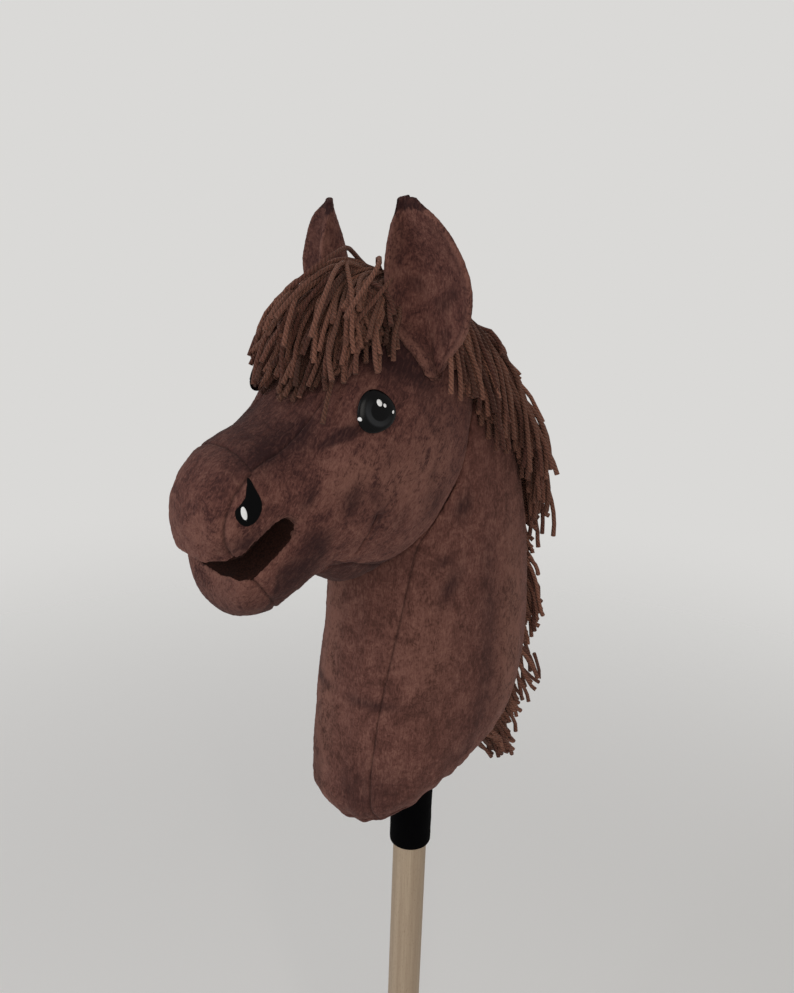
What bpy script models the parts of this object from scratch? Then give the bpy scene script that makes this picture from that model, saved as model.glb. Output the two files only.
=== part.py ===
"""Hobby horse: a sewn and stuffed horse head on a round wooden stick.

Metres, +Z up along the stick, the horse looks along -Y and its left side is +X.
The origin is the centre of the stick's foot.
"""
from math import atan2, cos, pi, radians, sin

import bmesh
import bpy
from mathutils import Matrix, Vector
from mathutils.bvhtree import BVHTree

MM = 0.001
SMOOTH_ANGLE = 40
MERGE = 1e-6

# stick and the fabric socket that grips it
STICK_DIAMETER = 25 * MM
STICK_LENGTH = 800 * MM
STICK_CHAMFER = 1.5 * MM
STICK_INSERTION = 300 * MM
STICK_SIDES = 32
RUNNING_GAP = 0.3 * MM
POCKET_WALL = 1.0 * MM
CUFF_WALL = 1.3 * MM
CUFF_ROUNDING = 1.3 * MM
CUFF_LENGTH = 56 * MM

# cloth and the small gap left between sewn neighbours
FABRIC = 1.6 * MM
GAP = 0.3 * MM
SEAM_PULL = 0.16 * MM
SEAM_SNAP = 2.5 * MM

# where the horse starts above the floor end of the stick
NECK_BASE = STICK_LENGTH - STICK_INSERTION

# head, rings from the back of the skull to the nose, heights above the neck's base in mm:
# along Y, top, bottom, half width, where the widest point lies between bottom and top
HEAD_RINGS = (
    (17, 324, 262, 21, 0.50),
    (6, 346, 238, 37, 0.50),
    (-12, 361, 214, 49, 0.50),
    (-35, 366, 197, 55, 0.48),
    (-62, 358, 190, 57, 0.50),
    (-88, 342, 193, 55, 0.52),
    (-110, 317, 200, 50, 0.56),
    (-126, 302, 189, 45, 0.59),
    (-136, 295, 181, 41, 0.61),
    (-148, 290, 180, 38, 0.62),
    (-160, 284, 184, 36, 0.61),
    (-166, 281, 191, 34, 0.60),
    (-171, 276, 217, 32, 0.50),
    (-180, 265, 221, 24, 0.56),
)
HEAD_BACK = (22, 298)
HEAD_FRONT = (-185, 246)
HEAD_SIDES = 28
HEAD_TOP_FULLNESS = 0.72
HEAD_SIDE_FULLNESS = 0.80
HEAD_BOTTOM_FULLNESS = 0.85

# neck, rings from the base to inside the head, heights above the neck's base in mm:
# height, front, back, half width, rise of the ring from front to back
NECK_RINGS = (
    (21, -55, 42, 34, 44),
    (28, -68, 56, 46, 52),
    (42, -76, 68, 54, 52),
    (64, -79, 77, 58, 40),
    (94, -77, 81, 59, 28),
    (128, -72, 82, 58, 16),
    (165, -66, 80, 56, 6),
    (204, -61, 75, 52, 0),
    (244, -56, 68, 47, 0),
    (284, -46, 58, 42, 0),
    (310, -32, 48, 35, 0),
    (323, -16, 35, 23, 0),
)
NECK_BOTTOM = (-7, 18)
NECK_TOP = (10, 329)
NECK_SIDES = 24
NECK_FULLNESS = 0.82

# seams, as distances from the middle plane or places along Y
FOREHEAD_HALF_WIDTH = 27 * MM
NOSE_SEAM_Y = -163 * MM
CHIN_SEAM_Y = -145 * MM
THROAT_START_Y = -106 * MM
FRONT_GUSSET_HALF_WIDTH = 30 * MM
FRONT_GUSSET_SPREAD = 0.05
FRONT_GUSSET_TOP = 250 * MM
BASE_SEAM_HEIGHT = 31 * MM
BASE_SLOPE = 0.36

# mouth slot, heights above the neck's base in mm: along Y and height, upper edge then lower edge
MOUTH_UPPER = ((-215, 225), (-182, 225), (-168, 229), (-155, 242), (-143, 251))
MOUTH_CORNER = (-134, 250)
MOUTH_LOWER = ((-136, 240), (-145, 230), (-156, 219), (-166, 213), (-182, 211), (-215, 211))
MOUTH_LINING = 1.5 * MM
MOUTH_HALF_REACH = 70 * MM
LIP_TOP_HEIGHT = (MOUTH_UPPER[0][1] + MOUTH_LOWER[-1][1]) / 2 * MM

# ears: foot and tip in mm, turn in degrees, the cup's depth and the stretch of a half wave that it
# follows from tip to foot, then the leaf's half widths towards and away from the middle plane
EARS = {
    "left": ((43, -41, 310), (36, -59, 418)),
    "right": ((-38, -41, 308), (-32, -59, 411)),
}
EAR_TURN = 25
EAR_CUP = 13 * MM
EAR_CUP_WAVE = (0.15, 0.95)
EAR_CLOTH = 1.8 * MM
EAR_LEAF = (
    (0.00, 5, 5),
    (0.10, 12, 17),
    (0.22, 18, 31),
    (0.38, 20, 43),
    (0.54, 17, 46),
    (0.70, 11, 42),
    (0.84, 5, 30),
    (0.94, 3, 15),
    (1.00, 2, 4),
)
EAR_STEPS = 8

# glossy eyes, flat nostrils
EYE_PLACE = (-89, 307)
EYE_RADIUS = 11.5 * MM
EYE_CORNERS = 0.07
EYE_DOME = 3.6 * MM
EYE_SEGMENTS = 24
NOSTRIL_INNER = 9 * MM
NOSTRIL_OUTLINE = (
    (-163.5, 278),
    (-158.5, 272),
    (-156.5, 264),
    (-158, 256),
    (-162.5, 251),
    (-168, 251.5),
    (-171, 256),
    (-170, 262),
    (-165.5, 266),
    (-163.5, 271),
)
NOSTRIL_CLOTH = 0.8 * MM

# yarn mane: crest line as (Y, height) in mm, the shares of it where one tuft ends and the next
# starts, each tuft's half width, thickness and shift towards the horse's left, and how full a tuft
# is along its length
CREST = (
    (8, 344),
    (26, 334),
    (41, 314),
    (54, 284),
    (64, 250),
    (71, 208),
    (77, 164),
    (81, 118),
    (82, 80),
    (79, 45),
    (72, 14),
)
CREST_DEPTH = 10
CREST_STEP = 0.03
TUFT_BREAKS = (0, 0.17, 0.32, 0.55, 0.77, 0.93, 1)
TUFT_HALF_WIDTHS = (34, 40, 40, 36, 32, 28)
TUFT_THICKNESS = (11, 26, 38, 42, 45, 37)
TUFT_SHIFT = (14, 12, 6, 4, 2, 0)
TUFT_FILL = ((0, 0.5, 0.8), (0.4, 0.8, 1.0), (0.8, 1.0, 1.0), (1.0, 0.75, 0.85))
TUFT_SIDES = 16
TUFTS_ON_HEAD = 2

# yarn forelock, rings from between the ears down the forehead:
# Y, height, half width, half thickness
FORELOCK_RINGS = (
    (-44, 369, 12, 6),
    (-58, 370, 15, 10),
    (-75, 365, 22, 16),
    (-92, 355, 37, 21),
    (-108, 343, 40, 24),
    (-119, 333, 34, 23),
)
FORELOCK_ENDS = ((-37, 368), (-130, 325))
FORELOCK_SHIFT = 2 * MM
FORELOCK_SIDES = 14


def power(value, exponent):
    """Signed power, for boxy rounded rings."""
    size = abs(value) ** exponent
    return size if value >= 0 else -size


def head_ring(spec):
    """Points of one upright ring of the head."""
    y, top, bottom, half_width, widest = spec
    middle = bottom + (top - bottom) * widest
    points = []
    for i in range(HEAD_SIDES):
        angle = 2 * pi * i / HEAD_SIDES
        x = half_width * power(sin(angle), HEAD_SIDE_FULLNESS)
        if cos(angle) >= 0:
            rise = (top - middle) * power(cos(angle), HEAD_TOP_FULLNESS)
        else:
            rise = (middle - bottom) * power(cos(angle), HEAD_BOTTOM_FULLNESS)
        points.append(Vector((x * MM, y * MM, NECK_BASE + (middle + rise) * MM)))
    return points


def neck_ring(spec):
    """Points of one level ring of the neck."""
    height, front, back, half_width, rise = spec
    middle = (front + back) / 2
    points = []
    for i in range(NECK_SIDES):
        angle = 2 * pi * i / NECK_SIDES
        x = half_width * power(sin(angle), NECK_FULLNESS)
        y = middle - (back - front) / 2 * power(cos(angle), NECK_FULLNESS)
        lift = rise * (y - middle) / (back - front)
        points.append(Vector((x * MM, y * MM, NECK_BASE + (height + lift) * MM)))
    return points


def loft(rings, start, end):
    """Closed surface through rings of equal count, with a pole at each end."""
    work = bmesh.new()
    first = work.verts.new(start)
    rows = [[work.verts.new(point) for point in ring] for ring in rings]
    last = work.verts.new(end)
    count = len(rows[0])
    for i in range(count):
        j = (i + 1) % count
        work.faces.new((first, rows[0][i], rows[0][j]))
        work.faces.new((last, rows[-1][j], rows[-1][i]))
        for low, high in zip(rows, rows[1:]):
            work.faces.new((low[i], high[i], high[j], low[j]))
    bmesh.ops.recalc_face_normals(work, faces=work.faces)
    return work


def side_point(y, height):
    """Point on the middle plane, from mm."""
    return Vector((0, y * MM, NECK_BASE + height * MM))


def head_surface():
    rings = [head_ring(spec) for spec in HEAD_RINGS]
    return loft(rings, side_point(*HEAD_BACK), side_point(*HEAD_FRONT))


def neck_surface():
    rings = [neck_ring(spec) for spec in NECK_RINGS]
    return loft(rings, side_point(*NECK_BOTTOM), side_point(*NECK_TOP))


def grown(work, distance):
    """The surface moved along its normals, as a new bmesh."""
    copy = work.copy()
    copy.normal_update()
    moves = [(vert, vert.normal * distance) for vert in copy.verts]
    for vert, move in moves:
        vert.co += move
    return copy


def slit(work, point, normal):
    """Cut an edge loop where a plane meets the surface, for a seam to follow."""
    for vert in work.verts:
        off = (vert.co - point).dot(normal)
        if abs(off) < SEAM_SNAP:
            vert.co -= normal * off
    geometry = work.verts[:] + work.edges[:] + work.faces[:]
    bmesh.ops.bisect_plane(work, geom=geometry, dist=MERGE, plane_co=point, plane_no=normal)


def panel(work, wanted=None, thickness=FABRIC):
    """One sewn piece of cloth: the wanted faces of a surface, as a closed shell."""
    work.normal_update()
    faces = [face for face in work.faces if wanted is None or wanted(face.calc_center_median())]
    chosen = set(faces)

    def at_border(edge):
        return sum(face in chosen for face in edge.link_faces) == 1

    pull = {}
    for face in faces:
        for loop in face.loops:
            if at_border(loop.edge):
                along = (loop.link_loop_next.vert.co - loop.vert.co).normalized()
                inside = face.normal.cross(along)
                for vert in (loop.vert, loop.link_loop_next.vert):
                    pull.setdefault(vert, Vector())
                    pull[vert] += inside
    shell = bmesh.new()
    outer = {}
    inner = {}
    for face in faces:
        for vert in face.verts:
            if vert in outer:
                continue
            spot = vert.co.copy()
            if vert in pull:
                spot += pull[vert] * (2 * SEAM_PULL / max(pull[vert].length_squared, 1))
            outer[vert] = shell.verts.new(spot)
            inner[vert] = shell.verts.new(spot - vert.normal * thickness)
    for face in faces:
        shell.faces.new([outer[vert] for vert in face.verts])
        shell.faces.new([inner[vert] for vert in reversed(face.verts)])
        for loop in face.loops:
            if at_border(loop.edge):
                a = loop.vert
                b = loop.link_loop_next.vert
                shell.faces.new((outer[b], outer[a], inner[a], inner[b]))
    return shell


def material(name, color, roughness, metallic=0.0):
    """Principled material made once per finish."""
    made = bpy.data.materials.get(name)
    if made is None:
        made = bpy.data.materials.new(name)
        made.use_nodes = True
        shader = made.node_tree.nodes["Principled BSDF"]
        shader.inputs["Base Color"].default_value = (*color, 1.0)
        shader.inputs["Roughness"].default_value = roughness
        shader.inputs["Metallic"].default_value = metallic
        made.diffuse_color = (*color, 1.0)
    return made


def plush():
    return material("brown_plush", (0.115, 0.042, 0.030), 0.90)


def yarn():
    return material("brown_yarn", (0.090, 0.040, 0.028), 0.85)


def lining():
    return material("dark_lining", (0.030, 0.012, 0.011), 0.90)


def filling():
    return material("fibre_filling", (0.80, 0.79, 0.76), 0.95)


def black_cloth():
    return material("black_cloth", (0.012, 0.012, 0.013), 0.90)


def black_gloss():
    return material("black_gloss", (0.008, 0.008, 0.009), 0.15)


def bare_wood():
    return material("bare_wood", (0.55, 0.45, 0.34), 0.65)


def place(name, work, finish):
    """Turn a bmesh into a scene object."""
    mesh = bpy.data.meshes.new(name)
    work.to_mesh(mesh)
    work.free()
    mesh.materials.append(finish)
    mesh.shade_smooth()
    mesh.set_sharp_from_angle(angle=radians(SMOOTH_ANGLE))
    item = bpy.data.objects.new(name, mesh)
    bpy.context.scene.collection.objects.link(item)
    return item


def guide(name, work):
    """A cutter: kept out of the finished toy."""
    item = place(name, work, filling())
    item.hide_render = True
    item.display_type = "WIRE"
    return item


def cut(item, tool, operation="DIFFERENCE"):
    """Boolean of one object with a guide."""
    step = item.modifiers.new("cut_" + tool.name, "BOOLEAN")
    step.operation = operation
    step.object = tool
    step.solver = "EXACT"
    step.use_self = True  # a grown skin may fold over itself in its creases
    return item


def turned(profile, sides):
    """Solid of revolution about Z from (radius, height) pairs, top to bottom, closed on the axis."""
    work = bmesh.new()
    verts = [work.verts.new((radius, 0, height)) for radius, height in profile]
    edges = [work.edges.new(pair) for pair in zip(verts, verts[1:])]
    bmesh.ops.spin(
        work,
        geom=verts + edges,
        cent=(0, 0, 0),
        axis=(0, 0, 1),
        angle=2 * pi,
        steps=sides,
        use_merge=True,
    )
    bmesh.ops.remove_doubles(work, verts=work.verts, dist=MERGE)
    bmesh.ops.recalc_face_normals(work, faces=work.faces)
    return work


def prism(outline, low, high):
    """Outline of (y, height) in mm, run along X from low to high."""
    work = bmesh.new()
    verts = []
    for y, height in outline:
        point = side_point(y, height)
        verts.append(work.verts.new((low, point.y, point.z)))
    face = work.faces.new(verts)
    made = bmesh.ops.extrude_face_region(work, geom=[face])
    moved = [item for item in made["geom"] if isinstance(item, bmesh.types.BMVert)]
    bmesh.ops.translate(work, verts=moved, vec=(high - low, 0, 0))
    bmesh.ops.recalc_face_normals(work, faces=work.faces)
    return work


def mouth_outline(spread):
    """Outline of the mouth slot, grown by spread in mm."""
    points = list(MOUTH_UPPER) + [MOUTH_CORNER] + list(MOUTH_LOWER)
    grown_points = []
    count = len(points)
    for i, (y, height) in enumerate(points):
        before = points[max(i - 1, 0)]
        after = points[min(i + 1, count - 1)]
        along = Vector((after[0] - before[0], after[1] - before[1])).normalized()
        outward = Vector((-along.y, along.x))
        grown_points.append((y + outward.x * spread, height + outward.y * spread))
    return grown_points


def clear_scene():
    for item in list(bpy.data.objects):
        bpy.data.objects.remove(item, do_unlink=True)


def make_stick():
    radius = STICK_DIAMETER / 2
    profile = (
        (0, STICK_LENGTH),
        (radius - STICK_CHAMFER, STICK_LENGTH),
        (radius, STICK_LENGTH - STICK_CHAMFER),
        (radius, STICK_CHAMFER),
        (radius - STICK_CHAMFER, 0),
        (0, 0),
    )
    place("stick", turned(profile, STICK_SIDES), bare_wood())


def make_socket():
    """Cloth pocket inside the neck and the black cuff below it. Returns the cuff and the pocket's radius."""
    inside = STICK_DIAMETER / 2 + RUNNING_GAP
    outside = inside + POCKET_WALL
    top = STICK_LENGTH + GAP
    bottom = NECK_BASE - CUFF_LENGTH
    pocket = (
        (0, top + POCKET_WALL),
        (outside - POCKET_WALL / 2, top + POCKET_WALL),
        (outside, top + POCKET_WALL / 2),
        (outside, bottom + CUFF_WALL),
        (inside, bottom + CUFF_WALL),
        (inside, top),
        (0, top),
    )
    place("stick_pocket", turned(pocket, STICK_SIDES), lining())
    cuff_in = outside + GAP
    cuff_out = cuff_in + CUFF_WALL
    cuff_top = NECK_BASE + BASE_SEAM_HEIGHT
    lip_top = bottom + CUFF_WALL - GAP
    cuff = (
        (cuff_out, cuff_top),
        (cuff_out, bottom + CUFF_ROUNDING),
        (cuff_out - CUFF_ROUNDING / 3, bottom + CUFF_ROUNDING / 3),
        (cuff_out - CUFF_ROUNDING, bottom),
        (inside, bottom),
        (inside, lip_top),
        (cuff_in, lip_top),
        (cuff_in, cuff_top),
        (cuff_out, cuff_top),
    )
    return place("stick_cuff", turned(cuff, STICK_SIDES), black_cloth()), outside


def sewn_head():
    """Head surface with an edge along every seam."""
    head = head_surface()
    across = Vector((1, 0, 0))
    along = Vector((0, 1, 0))
    for side in (-1, 1):
        slit(head, Vector((side * FOREHEAD_HALF_WIDTH, 0, 0)), across)
    for y in (NOSE_SEAM_Y, CHIN_SEAM_Y, THROAT_START_Y):
        slit(head, Vector((0, y, 0)), along)
    slit(head, Vector((0, 0, NECK_BASE + LIP_TOP_HEIGHT)), Vector((0, 0, 1)))
    bmesh.ops.triangulate(head, faces=head.faces)
    return head


def sewn_neck():
    """Neck surface with an edge along every seam."""
    neck = neck_surface()
    for side in (-1, 1):
        foot = Vector((side * FRONT_GUSSET_HALF_WIDTH, 0, NECK_BASE))
        slit(neck, foot, Vector((1, 0, -side * FRONT_GUSSET_SPREAD)).normalized())
    slit(neck, Vector((0, 0, NECK_BASE + FRONT_GUSSET_TOP)), Vector((0, 0, 1)))
    base_normal = Vector((0, -BASE_SLOPE, 1)).normalized()
    slit(neck, Vector((0, 0, NECK_BASE + BASE_SEAM_HEIGHT)), base_normal)
    bmesh.ops.triangulate(neck, faces=neck.faces)
    return neck


def head_rules():
    """Which part of the head's surface each piece of cloth covers."""
    lip_top = NECK_BASE + LIP_TOP_HEIGHT
    front = side_point(*HEAD_FRONT)
    back = side_point(*HEAD_BACK)

    def lip(c):
        return c.z < lip_top and c.y < CHIN_SEAM_Y

    def throat(c):
        return c.z < lip_top and c.y > THROAT_START_Y and abs(c.x) < FOREHEAD_HALF_WIDTH

    def muzzle(c):
        return abs(c.x) < FOREHEAD_HALF_WIDTH and c.y < NOSE_SEAM_Y and c.z > lip_top

    def forehead(c):
        share = (c.y - front.y) / (back.y - front.y)
        above = c.z > front.z + (back.z - front.z) * share
        return above and abs(c.x) < FOREHEAD_HALF_WIDTH and c.y > NOSE_SEAM_Y

    def cheek(c):
        return not (lip(c) or throat(c) or muzzle(c) or forehead(c))

    return {
        "lower_lip_panel": lip,
        "throat_gusset": throat,
        "muzzle_panel": muzzle,
        "forehead_gusset": forehead,
        "left_cheek_panel": lambda c: cheek(c) and c.x > 0,
        "right_cheek_panel": lambda c: cheek(c) and c.x < 0,
    }


def neck_rules():
    """Which part of the neck's surface each piece of cloth covers."""

    def base(c):
        return c.z < NECK_BASE + BASE_SEAM_HEIGHT + BASE_SLOPE * c.y

    def front(c):
        half_width = FRONT_GUSSET_HALF_WIDTH + FRONT_GUSSET_SPREAD * (c.z - NECK_BASE)
        low = c.z < NECK_BASE + FRONT_GUSSET_TOP
        return low and not base(c) and abs(c.x) < half_width and c.y < 0

    return {
        "neck_base_panel": base,
        "neck_front_gusset": front,
        "left_neck_panel": lambda c: not (base(c) or front(c)) and c.x > 0,
        "right_neck_panel": lambda c: not (base(c) or front(c)) and c.x < 0,
    }


def make_cloth(head, neck, guides):
    for name, rule in head_rules().items():
        item = place(name, panel(head, rule), plush())
        cut(item, guides["neck_limit"])
        if name not in ("forehead_gusset", "throat_gusset"):
            cut(item, guides["mouth_slot"])
    for name, rule in neck_rules().items():
        item = place(name, panel(neck, rule), plush())
        if name == "neck_base_panel":
            cut(item, guides["pocket_bore"])
        else:
            cut(item, guides["head_limit"])


def make_stuffing(head, neck, guides):
    """Fibre filling inside the cloth, and the dark cloth that lines the mouth."""
    inset = FABRIC + GAP
    item = place("head_stuffing", grown(head, -inset), filling())
    lined = prism(mouth_outline((MOUTH_LINING + GAP) / MM), -MOUTH_HALF_REACH, MOUTH_HALF_REACH)
    cut(item, guide("lined_slot", lined))
    cut(item, guides["pocket_bore"])
    item = place("neck_stuffing", grown(neck, -inset), filling())
    cut(item, guide("head_core_limit", grown(head, -FABRIC)))
    cut(item, guides["pocket_bore"])
    inside_cloth = guide("inside_head_cloth", grown(head, -inset))
    shell = prism(mouth_outline(MOUTH_LINING / MM), -MOUTH_HALF_REACH, MOUTH_HALF_REACH)
    item = place("mouth_lining", shell, lining())
    cut(item, guides["mouth_slot"])
    cut(item, inside_cloth, "INTERSECT")


def ear_surface(word):
    """Cupped leaf, its hollow face forward."""
    foot, tip = (Vector(spot) * MM + Vector((0, 0, NECK_BASE)) for spot in EARS[word])
    side = 1 if word == "left" else -1
    up = (tip - foot).normalized()
    facing = Matrix.Rotation(side * radians(EAR_TURN), 3, "Z") @ Vector((0, -1, 0))
    outward = up.cross(facing).normalized() * -side
    if outward.x * side < 0:
        outward.negate()
    work = bmesh.new()
    rows = []
    for level, inner, outer in EAR_LEAF:
        spine = foot.lerp(tip, level)
        depth = EAR_CUP * sin(pi * (EAR_CUP_WAVE[0] + (EAR_CUP_WAVE[1] - EAR_CUP_WAVE[0]) * (1 - level)))
        row = []
        for i in range(EAR_STEPS + 1):
            across = 2 * i / EAR_STEPS - 1
            width = (outer if across > 0 else inner) * MM
            cup = facing * (depth * across * across)
            row.append(work.verts.new(spine + outward * (across * width) + cup))
        rows.append(row)
    for low, high in zip(rows, rows[1:]):
        for i in range(EAR_STEPS):
            work.faces.new((low[i], low[i + 1], high[i + 1], high[i]))
    bmesh.ops.triangulate(work, faces=work.faces)
    work.normal_update()
    middle = sum((face.normal for face in work.faces), Vector())
    if middle.dot(facing) < 0:
        bmesh.ops.reverse_faces(work, faces=work.faces)
    work.normal_update()
    return work


def make_ears(guides):
    for word in EARS:
        front = ear_surface(word)
        back = grown(front, -(EAR_CLOTH + GAP))
        item = place(word + "_ear_lining", panel(front, None, EAR_CLOTH), plush())
        cut(item, guides["head_limit"])
        item = place(word + "_ear_back", panel(back, None, EAR_CLOTH), plush())
        cut(item, guides["head_limit"])


def make_eyes(head, guides):
    """Domed rounded triangles glued on the cheeks."""
    tree = BVHTree.FromBMesh(head)
    for side, word in ((1, "left"), (-1, "right")):
        start = side_point(*EYE_PLACE) + Vector((side * STICK_LENGTH, 0, 0))
        spot, normal, _, _ = tree.ray_cast(start, Vector((-side, 0, 0)))
        work = bmesh.new()
        bmesh.ops.create_uvsphere(work, u_segments=EYE_SEGMENTS, v_segments=EYE_SEGMENTS // 2, radius=EYE_RADIUS)
        for vert in work.verts:
            turn = atan2(vert.co.y, vert.co.x)
            swell = 1 + EYE_CORNERS * cos(3 * turn)
            vert.co.x *= swell
            vert.co.y *= swell
            vert.co.z *= EYE_DOME / EYE_RADIUS
        frame = normal.to_track_quat("Z", "Y").to_matrix().to_4x4()
        frame.translation = spot
        work.transform(frame)
        cut(place(word + "_eye", work, black_gloss()), guides["head_limit"])


def make_nostrils(head, guides):
    outer = guide("nostril_face", grown(head, GAP + NOSTRIL_CLOTH))
    for side, word in ((1, "left"), (-1, "right")):
        low, high = sorted((side * NOSTRIL_INNER, side * MOUTH_HALF_REACH))
        item = place(word + "_nostril", prism(NOSTRIL_OUTLINE, low, high), black_gloss())
        cut(item, outer, "INTERSECT")
        cut(item, guides["head_limit"])


def crest_point(share):
    """Point along the crest line, share from 0 at the poll to 1 at the neck's base."""
    points = [side_point(y, height) for y, height in CREST]
    spans = [(b - a).length for a, b in zip(points, points[1:])]
    left = share * sum(spans)
    for a, b, span in zip(points, points[1:], spans):
        if left <= span:
            return a.lerp(b, left / span)
        left -= span
    return points[-1]


def tuft_rings(i):
    """Ellipses square to one stretch of the crest."""
    rings = []
    for share, full, wide in TUFT_FILL:
        spot = TUFT_BREAKS[i] + (TUFT_BREAKS[i + 1] - TUFT_BREAKS[i]) * share
        ahead = crest_point(min(spot + CREST_STEP, 1))
        behind = crest_point(max(spot - CREST_STEP, 0))
        along = (ahead - behind).normalized()
        outward = Vector((0, -along.z, along.y))
        if outward.y + outward.z < 0:
            outward.negate()
        centre = crest_point(spot) - outward * CREST_DEPTH * MM
        if share == 0:
            centre += along * GAP / 2
        if share == 1:
            centre -= along * GAP / 2
        centre.x = TUFT_SHIFT[i] * MM
        half_width = TUFT_HALF_WIDTHS[i] * MM * wide
        reach = (CREST_DEPTH + TUFT_THICKNESS[i] * full) * MM
        ring = []
        for k in range(TUFT_SIDES):
            angle = 2 * pi * k / TUFT_SIDES
            ring.append(centre + Vector((half_width * cos(angle), 0, 0)) + outward * (reach * sin(angle)))
        rings.append(ring)
    return rings


def make_mane(guides):
    """Tufts of yarn along the crest, each hanging fuller towards its lower end."""
    for i in range(len(TUFT_THICKNESS)):
        rings = tuft_rings(i)
        ends = [sum(ring, Vector()) / TUFT_SIDES for ring in (rings[0], rings[-1])]
        item = place("mane_tuft_%d" % (i + 1), loft(rings, *ends), yarn())
        cut(item, guides["neck_limit"])
        if i < TUFTS_ON_HEAD:
            cut(item, guides["head_limit"])


def make_forelock(guides):
    """Yarn swept forward from between the ears."""
    rings = []
    count = len(FORELOCK_RINGS)
    for i, (y, height, half_width, half_thick) in enumerate(FORELOCK_RINGS):
        before = FORELOCK_RINGS[max(i - 1, 0)]
        after = FORELOCK_RINGS[min(i + 1, count - 1)]
        along = Vector((0, after[0] - before[0], after[1] - before[1])).normalized()
        outward = Vector((0, along.z, -along.y))
        shift = Vector((FORELOCK_SHIFT * i / (count - 1), 0, 0))
        ring = []
        for k in range(FORELOCK_SIDES):
            angle = 2 * pi * k / FORELOCK_SIDES
            side_step = Vector((half_width * MM * sin(angle), 0, 0))
            ring.append(side_point(y, height) + shift + side_step + outward * half_thick * MM * cos(angle))
        rings.append(ring)
    start, end = (side_point(*pair) for pair in FORELOCK_ENDS)
    work = loft(rings, start, end + Vector((FORELOCK_SHIFT, 0, 0)))
    cut(place("forelock", work, yarn()), guides["head_limit"])


def main():
    clear_scene()
    make_stick()
    cuff, pocket_radius = make_socket()
    bore = pocket_radius + GAP
    head = sewn_head()
    neck = sewn_neck()
    bore_top = STICK_LENGTH + POCKET_WALL + 2 * GAP
    bore_profile = ((0, bore_top), (bore, bore_top), (bore, 0), (0, 0))
    slot = prism(mouth_outline(0), -MOUTH_HALF_REACH, MOUTH_HALF_REACH)
    guides = {
        "head_limit": guide("head_limit", grown(head, GAP)),
        "neck_limit": guide("neck_limit", grown(neck, GAP)),
        "mouth_slot": guide("mouth_slot", slot),
        "pocket_bore": guide("pocket_bore", turned(bore_profile, STICK_SIDES)),
    }
    cut(cuff, guides["neck_limit"])
    make_cloth(head, neck, guides)
    make_stuffing(head, neck, guides)
    make_ears(guides)
    make_eyes(head, guides)
    make_nostrils(head, guides)
    make_mane(guides)
    make_forelock(guides)
    head.free()
    neck.free()


main()
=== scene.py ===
import random
from math import atan2, cos, exp, pi, radians, sin

import bmesh
import bpy
import numpy as np
from mathutils import Matrix, Vector, noise
from mathutils.bvhtree import BVHTree


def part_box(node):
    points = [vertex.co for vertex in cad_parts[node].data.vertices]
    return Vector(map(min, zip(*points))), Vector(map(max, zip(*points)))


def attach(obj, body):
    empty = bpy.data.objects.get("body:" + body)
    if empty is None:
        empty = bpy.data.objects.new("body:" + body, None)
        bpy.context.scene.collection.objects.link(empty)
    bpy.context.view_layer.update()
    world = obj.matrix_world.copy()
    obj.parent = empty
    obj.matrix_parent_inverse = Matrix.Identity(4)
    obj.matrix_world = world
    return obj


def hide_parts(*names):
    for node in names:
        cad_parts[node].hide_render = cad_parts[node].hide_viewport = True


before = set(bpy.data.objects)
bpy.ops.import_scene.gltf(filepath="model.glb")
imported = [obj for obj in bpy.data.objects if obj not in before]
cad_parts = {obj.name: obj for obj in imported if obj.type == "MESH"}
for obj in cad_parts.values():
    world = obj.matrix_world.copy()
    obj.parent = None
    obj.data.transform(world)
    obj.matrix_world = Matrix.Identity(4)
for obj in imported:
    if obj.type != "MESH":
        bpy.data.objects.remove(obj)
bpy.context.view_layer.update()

mm = 0.001
horse = "horse"  # the two bodies of the frame
stick = "stick"
weld = 0.00001
onceFiner = ("SUBSURF", {"levels": 1, "render_levels": 1})


# small helpers

def linear(hexText):  # an sRGB hex colour, turned to the linear values a shader wants
    parts = [int(hexText[i:i + 2], 16) / 255 for i in (1, 3, 5)]
    return tuple(v / 12.92 if v <= 0.04045 else ((v + 0.055) / 1.055) ** 2.4 for v in parts) + (1.0,)


def addNode(tree, kind, settings=None, feeds=None):  # each fed socket gets a value or a link
    node = tree.nodes.new(kind)
    for name, value in (settings or {}).items():
        setattr(node, name, value)
    for name, value in (feeds or {}).items():
        if isinstance(value, bpy.types.NodeSocket):
            tree.links.new(value, node.inputs[name])
        else:
            node.inputs[name].default_value = value
    return node


def calc(tree, kind, *values, clamp=False):
    settings = {"operation": kind, "use_clamp": clamp}
    return addNode(tree, "ShaderNodeMath", settings, dict(enumerate(values))).outputs[0]


def mixColour(tree, share, first, second):  # each colour is hex text or a link
    first, second = (linear(end) if isinstance(end, str) else end for end in (first, second))
    return addNode(tree, "ShaderNodeMix", {"data_type": "RGBA"}, {0: share, 6: first, 7: second}).outputs[2]


def between(tree, value, low, high, to=(0, 1), kind="LINEAR"):  # low..high spread over another range
    feeds = {"Value": value, "From Min": low, "From Max": high, "To Min": to[0], "To Max": to[1]}
    return addNode(tree, "ShaderNodeMapRange", {"interpolation_type": kind}, feeds).outputs[0]


def cloud(tree, sizes, detail=2.0, distortion=0.0, rough=0.5, lean=0.0):  # noise stretched to sizes in mm
    spot = addNode(tree, "ShaderNodeTexCoord").outputs["Object"]
    feeds = {"Vector": spot, "Rotation": (radians(lean), 0, 0), "Scale": [size * mm for size in sizes]}
    scaled = addNode(tree, "ShaderNodeMapping", {"vector_type": "TEXTURE"}, feeds).outputs[0]
    feeds = {"Vector": scaled, "Scale": 1.0, "Detail": detail, "Roughness": rough, "Distortion": distortion}
    return addNode(tree, "ShaderNodeTexNoise", {}, feeds).outputs[0]


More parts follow.
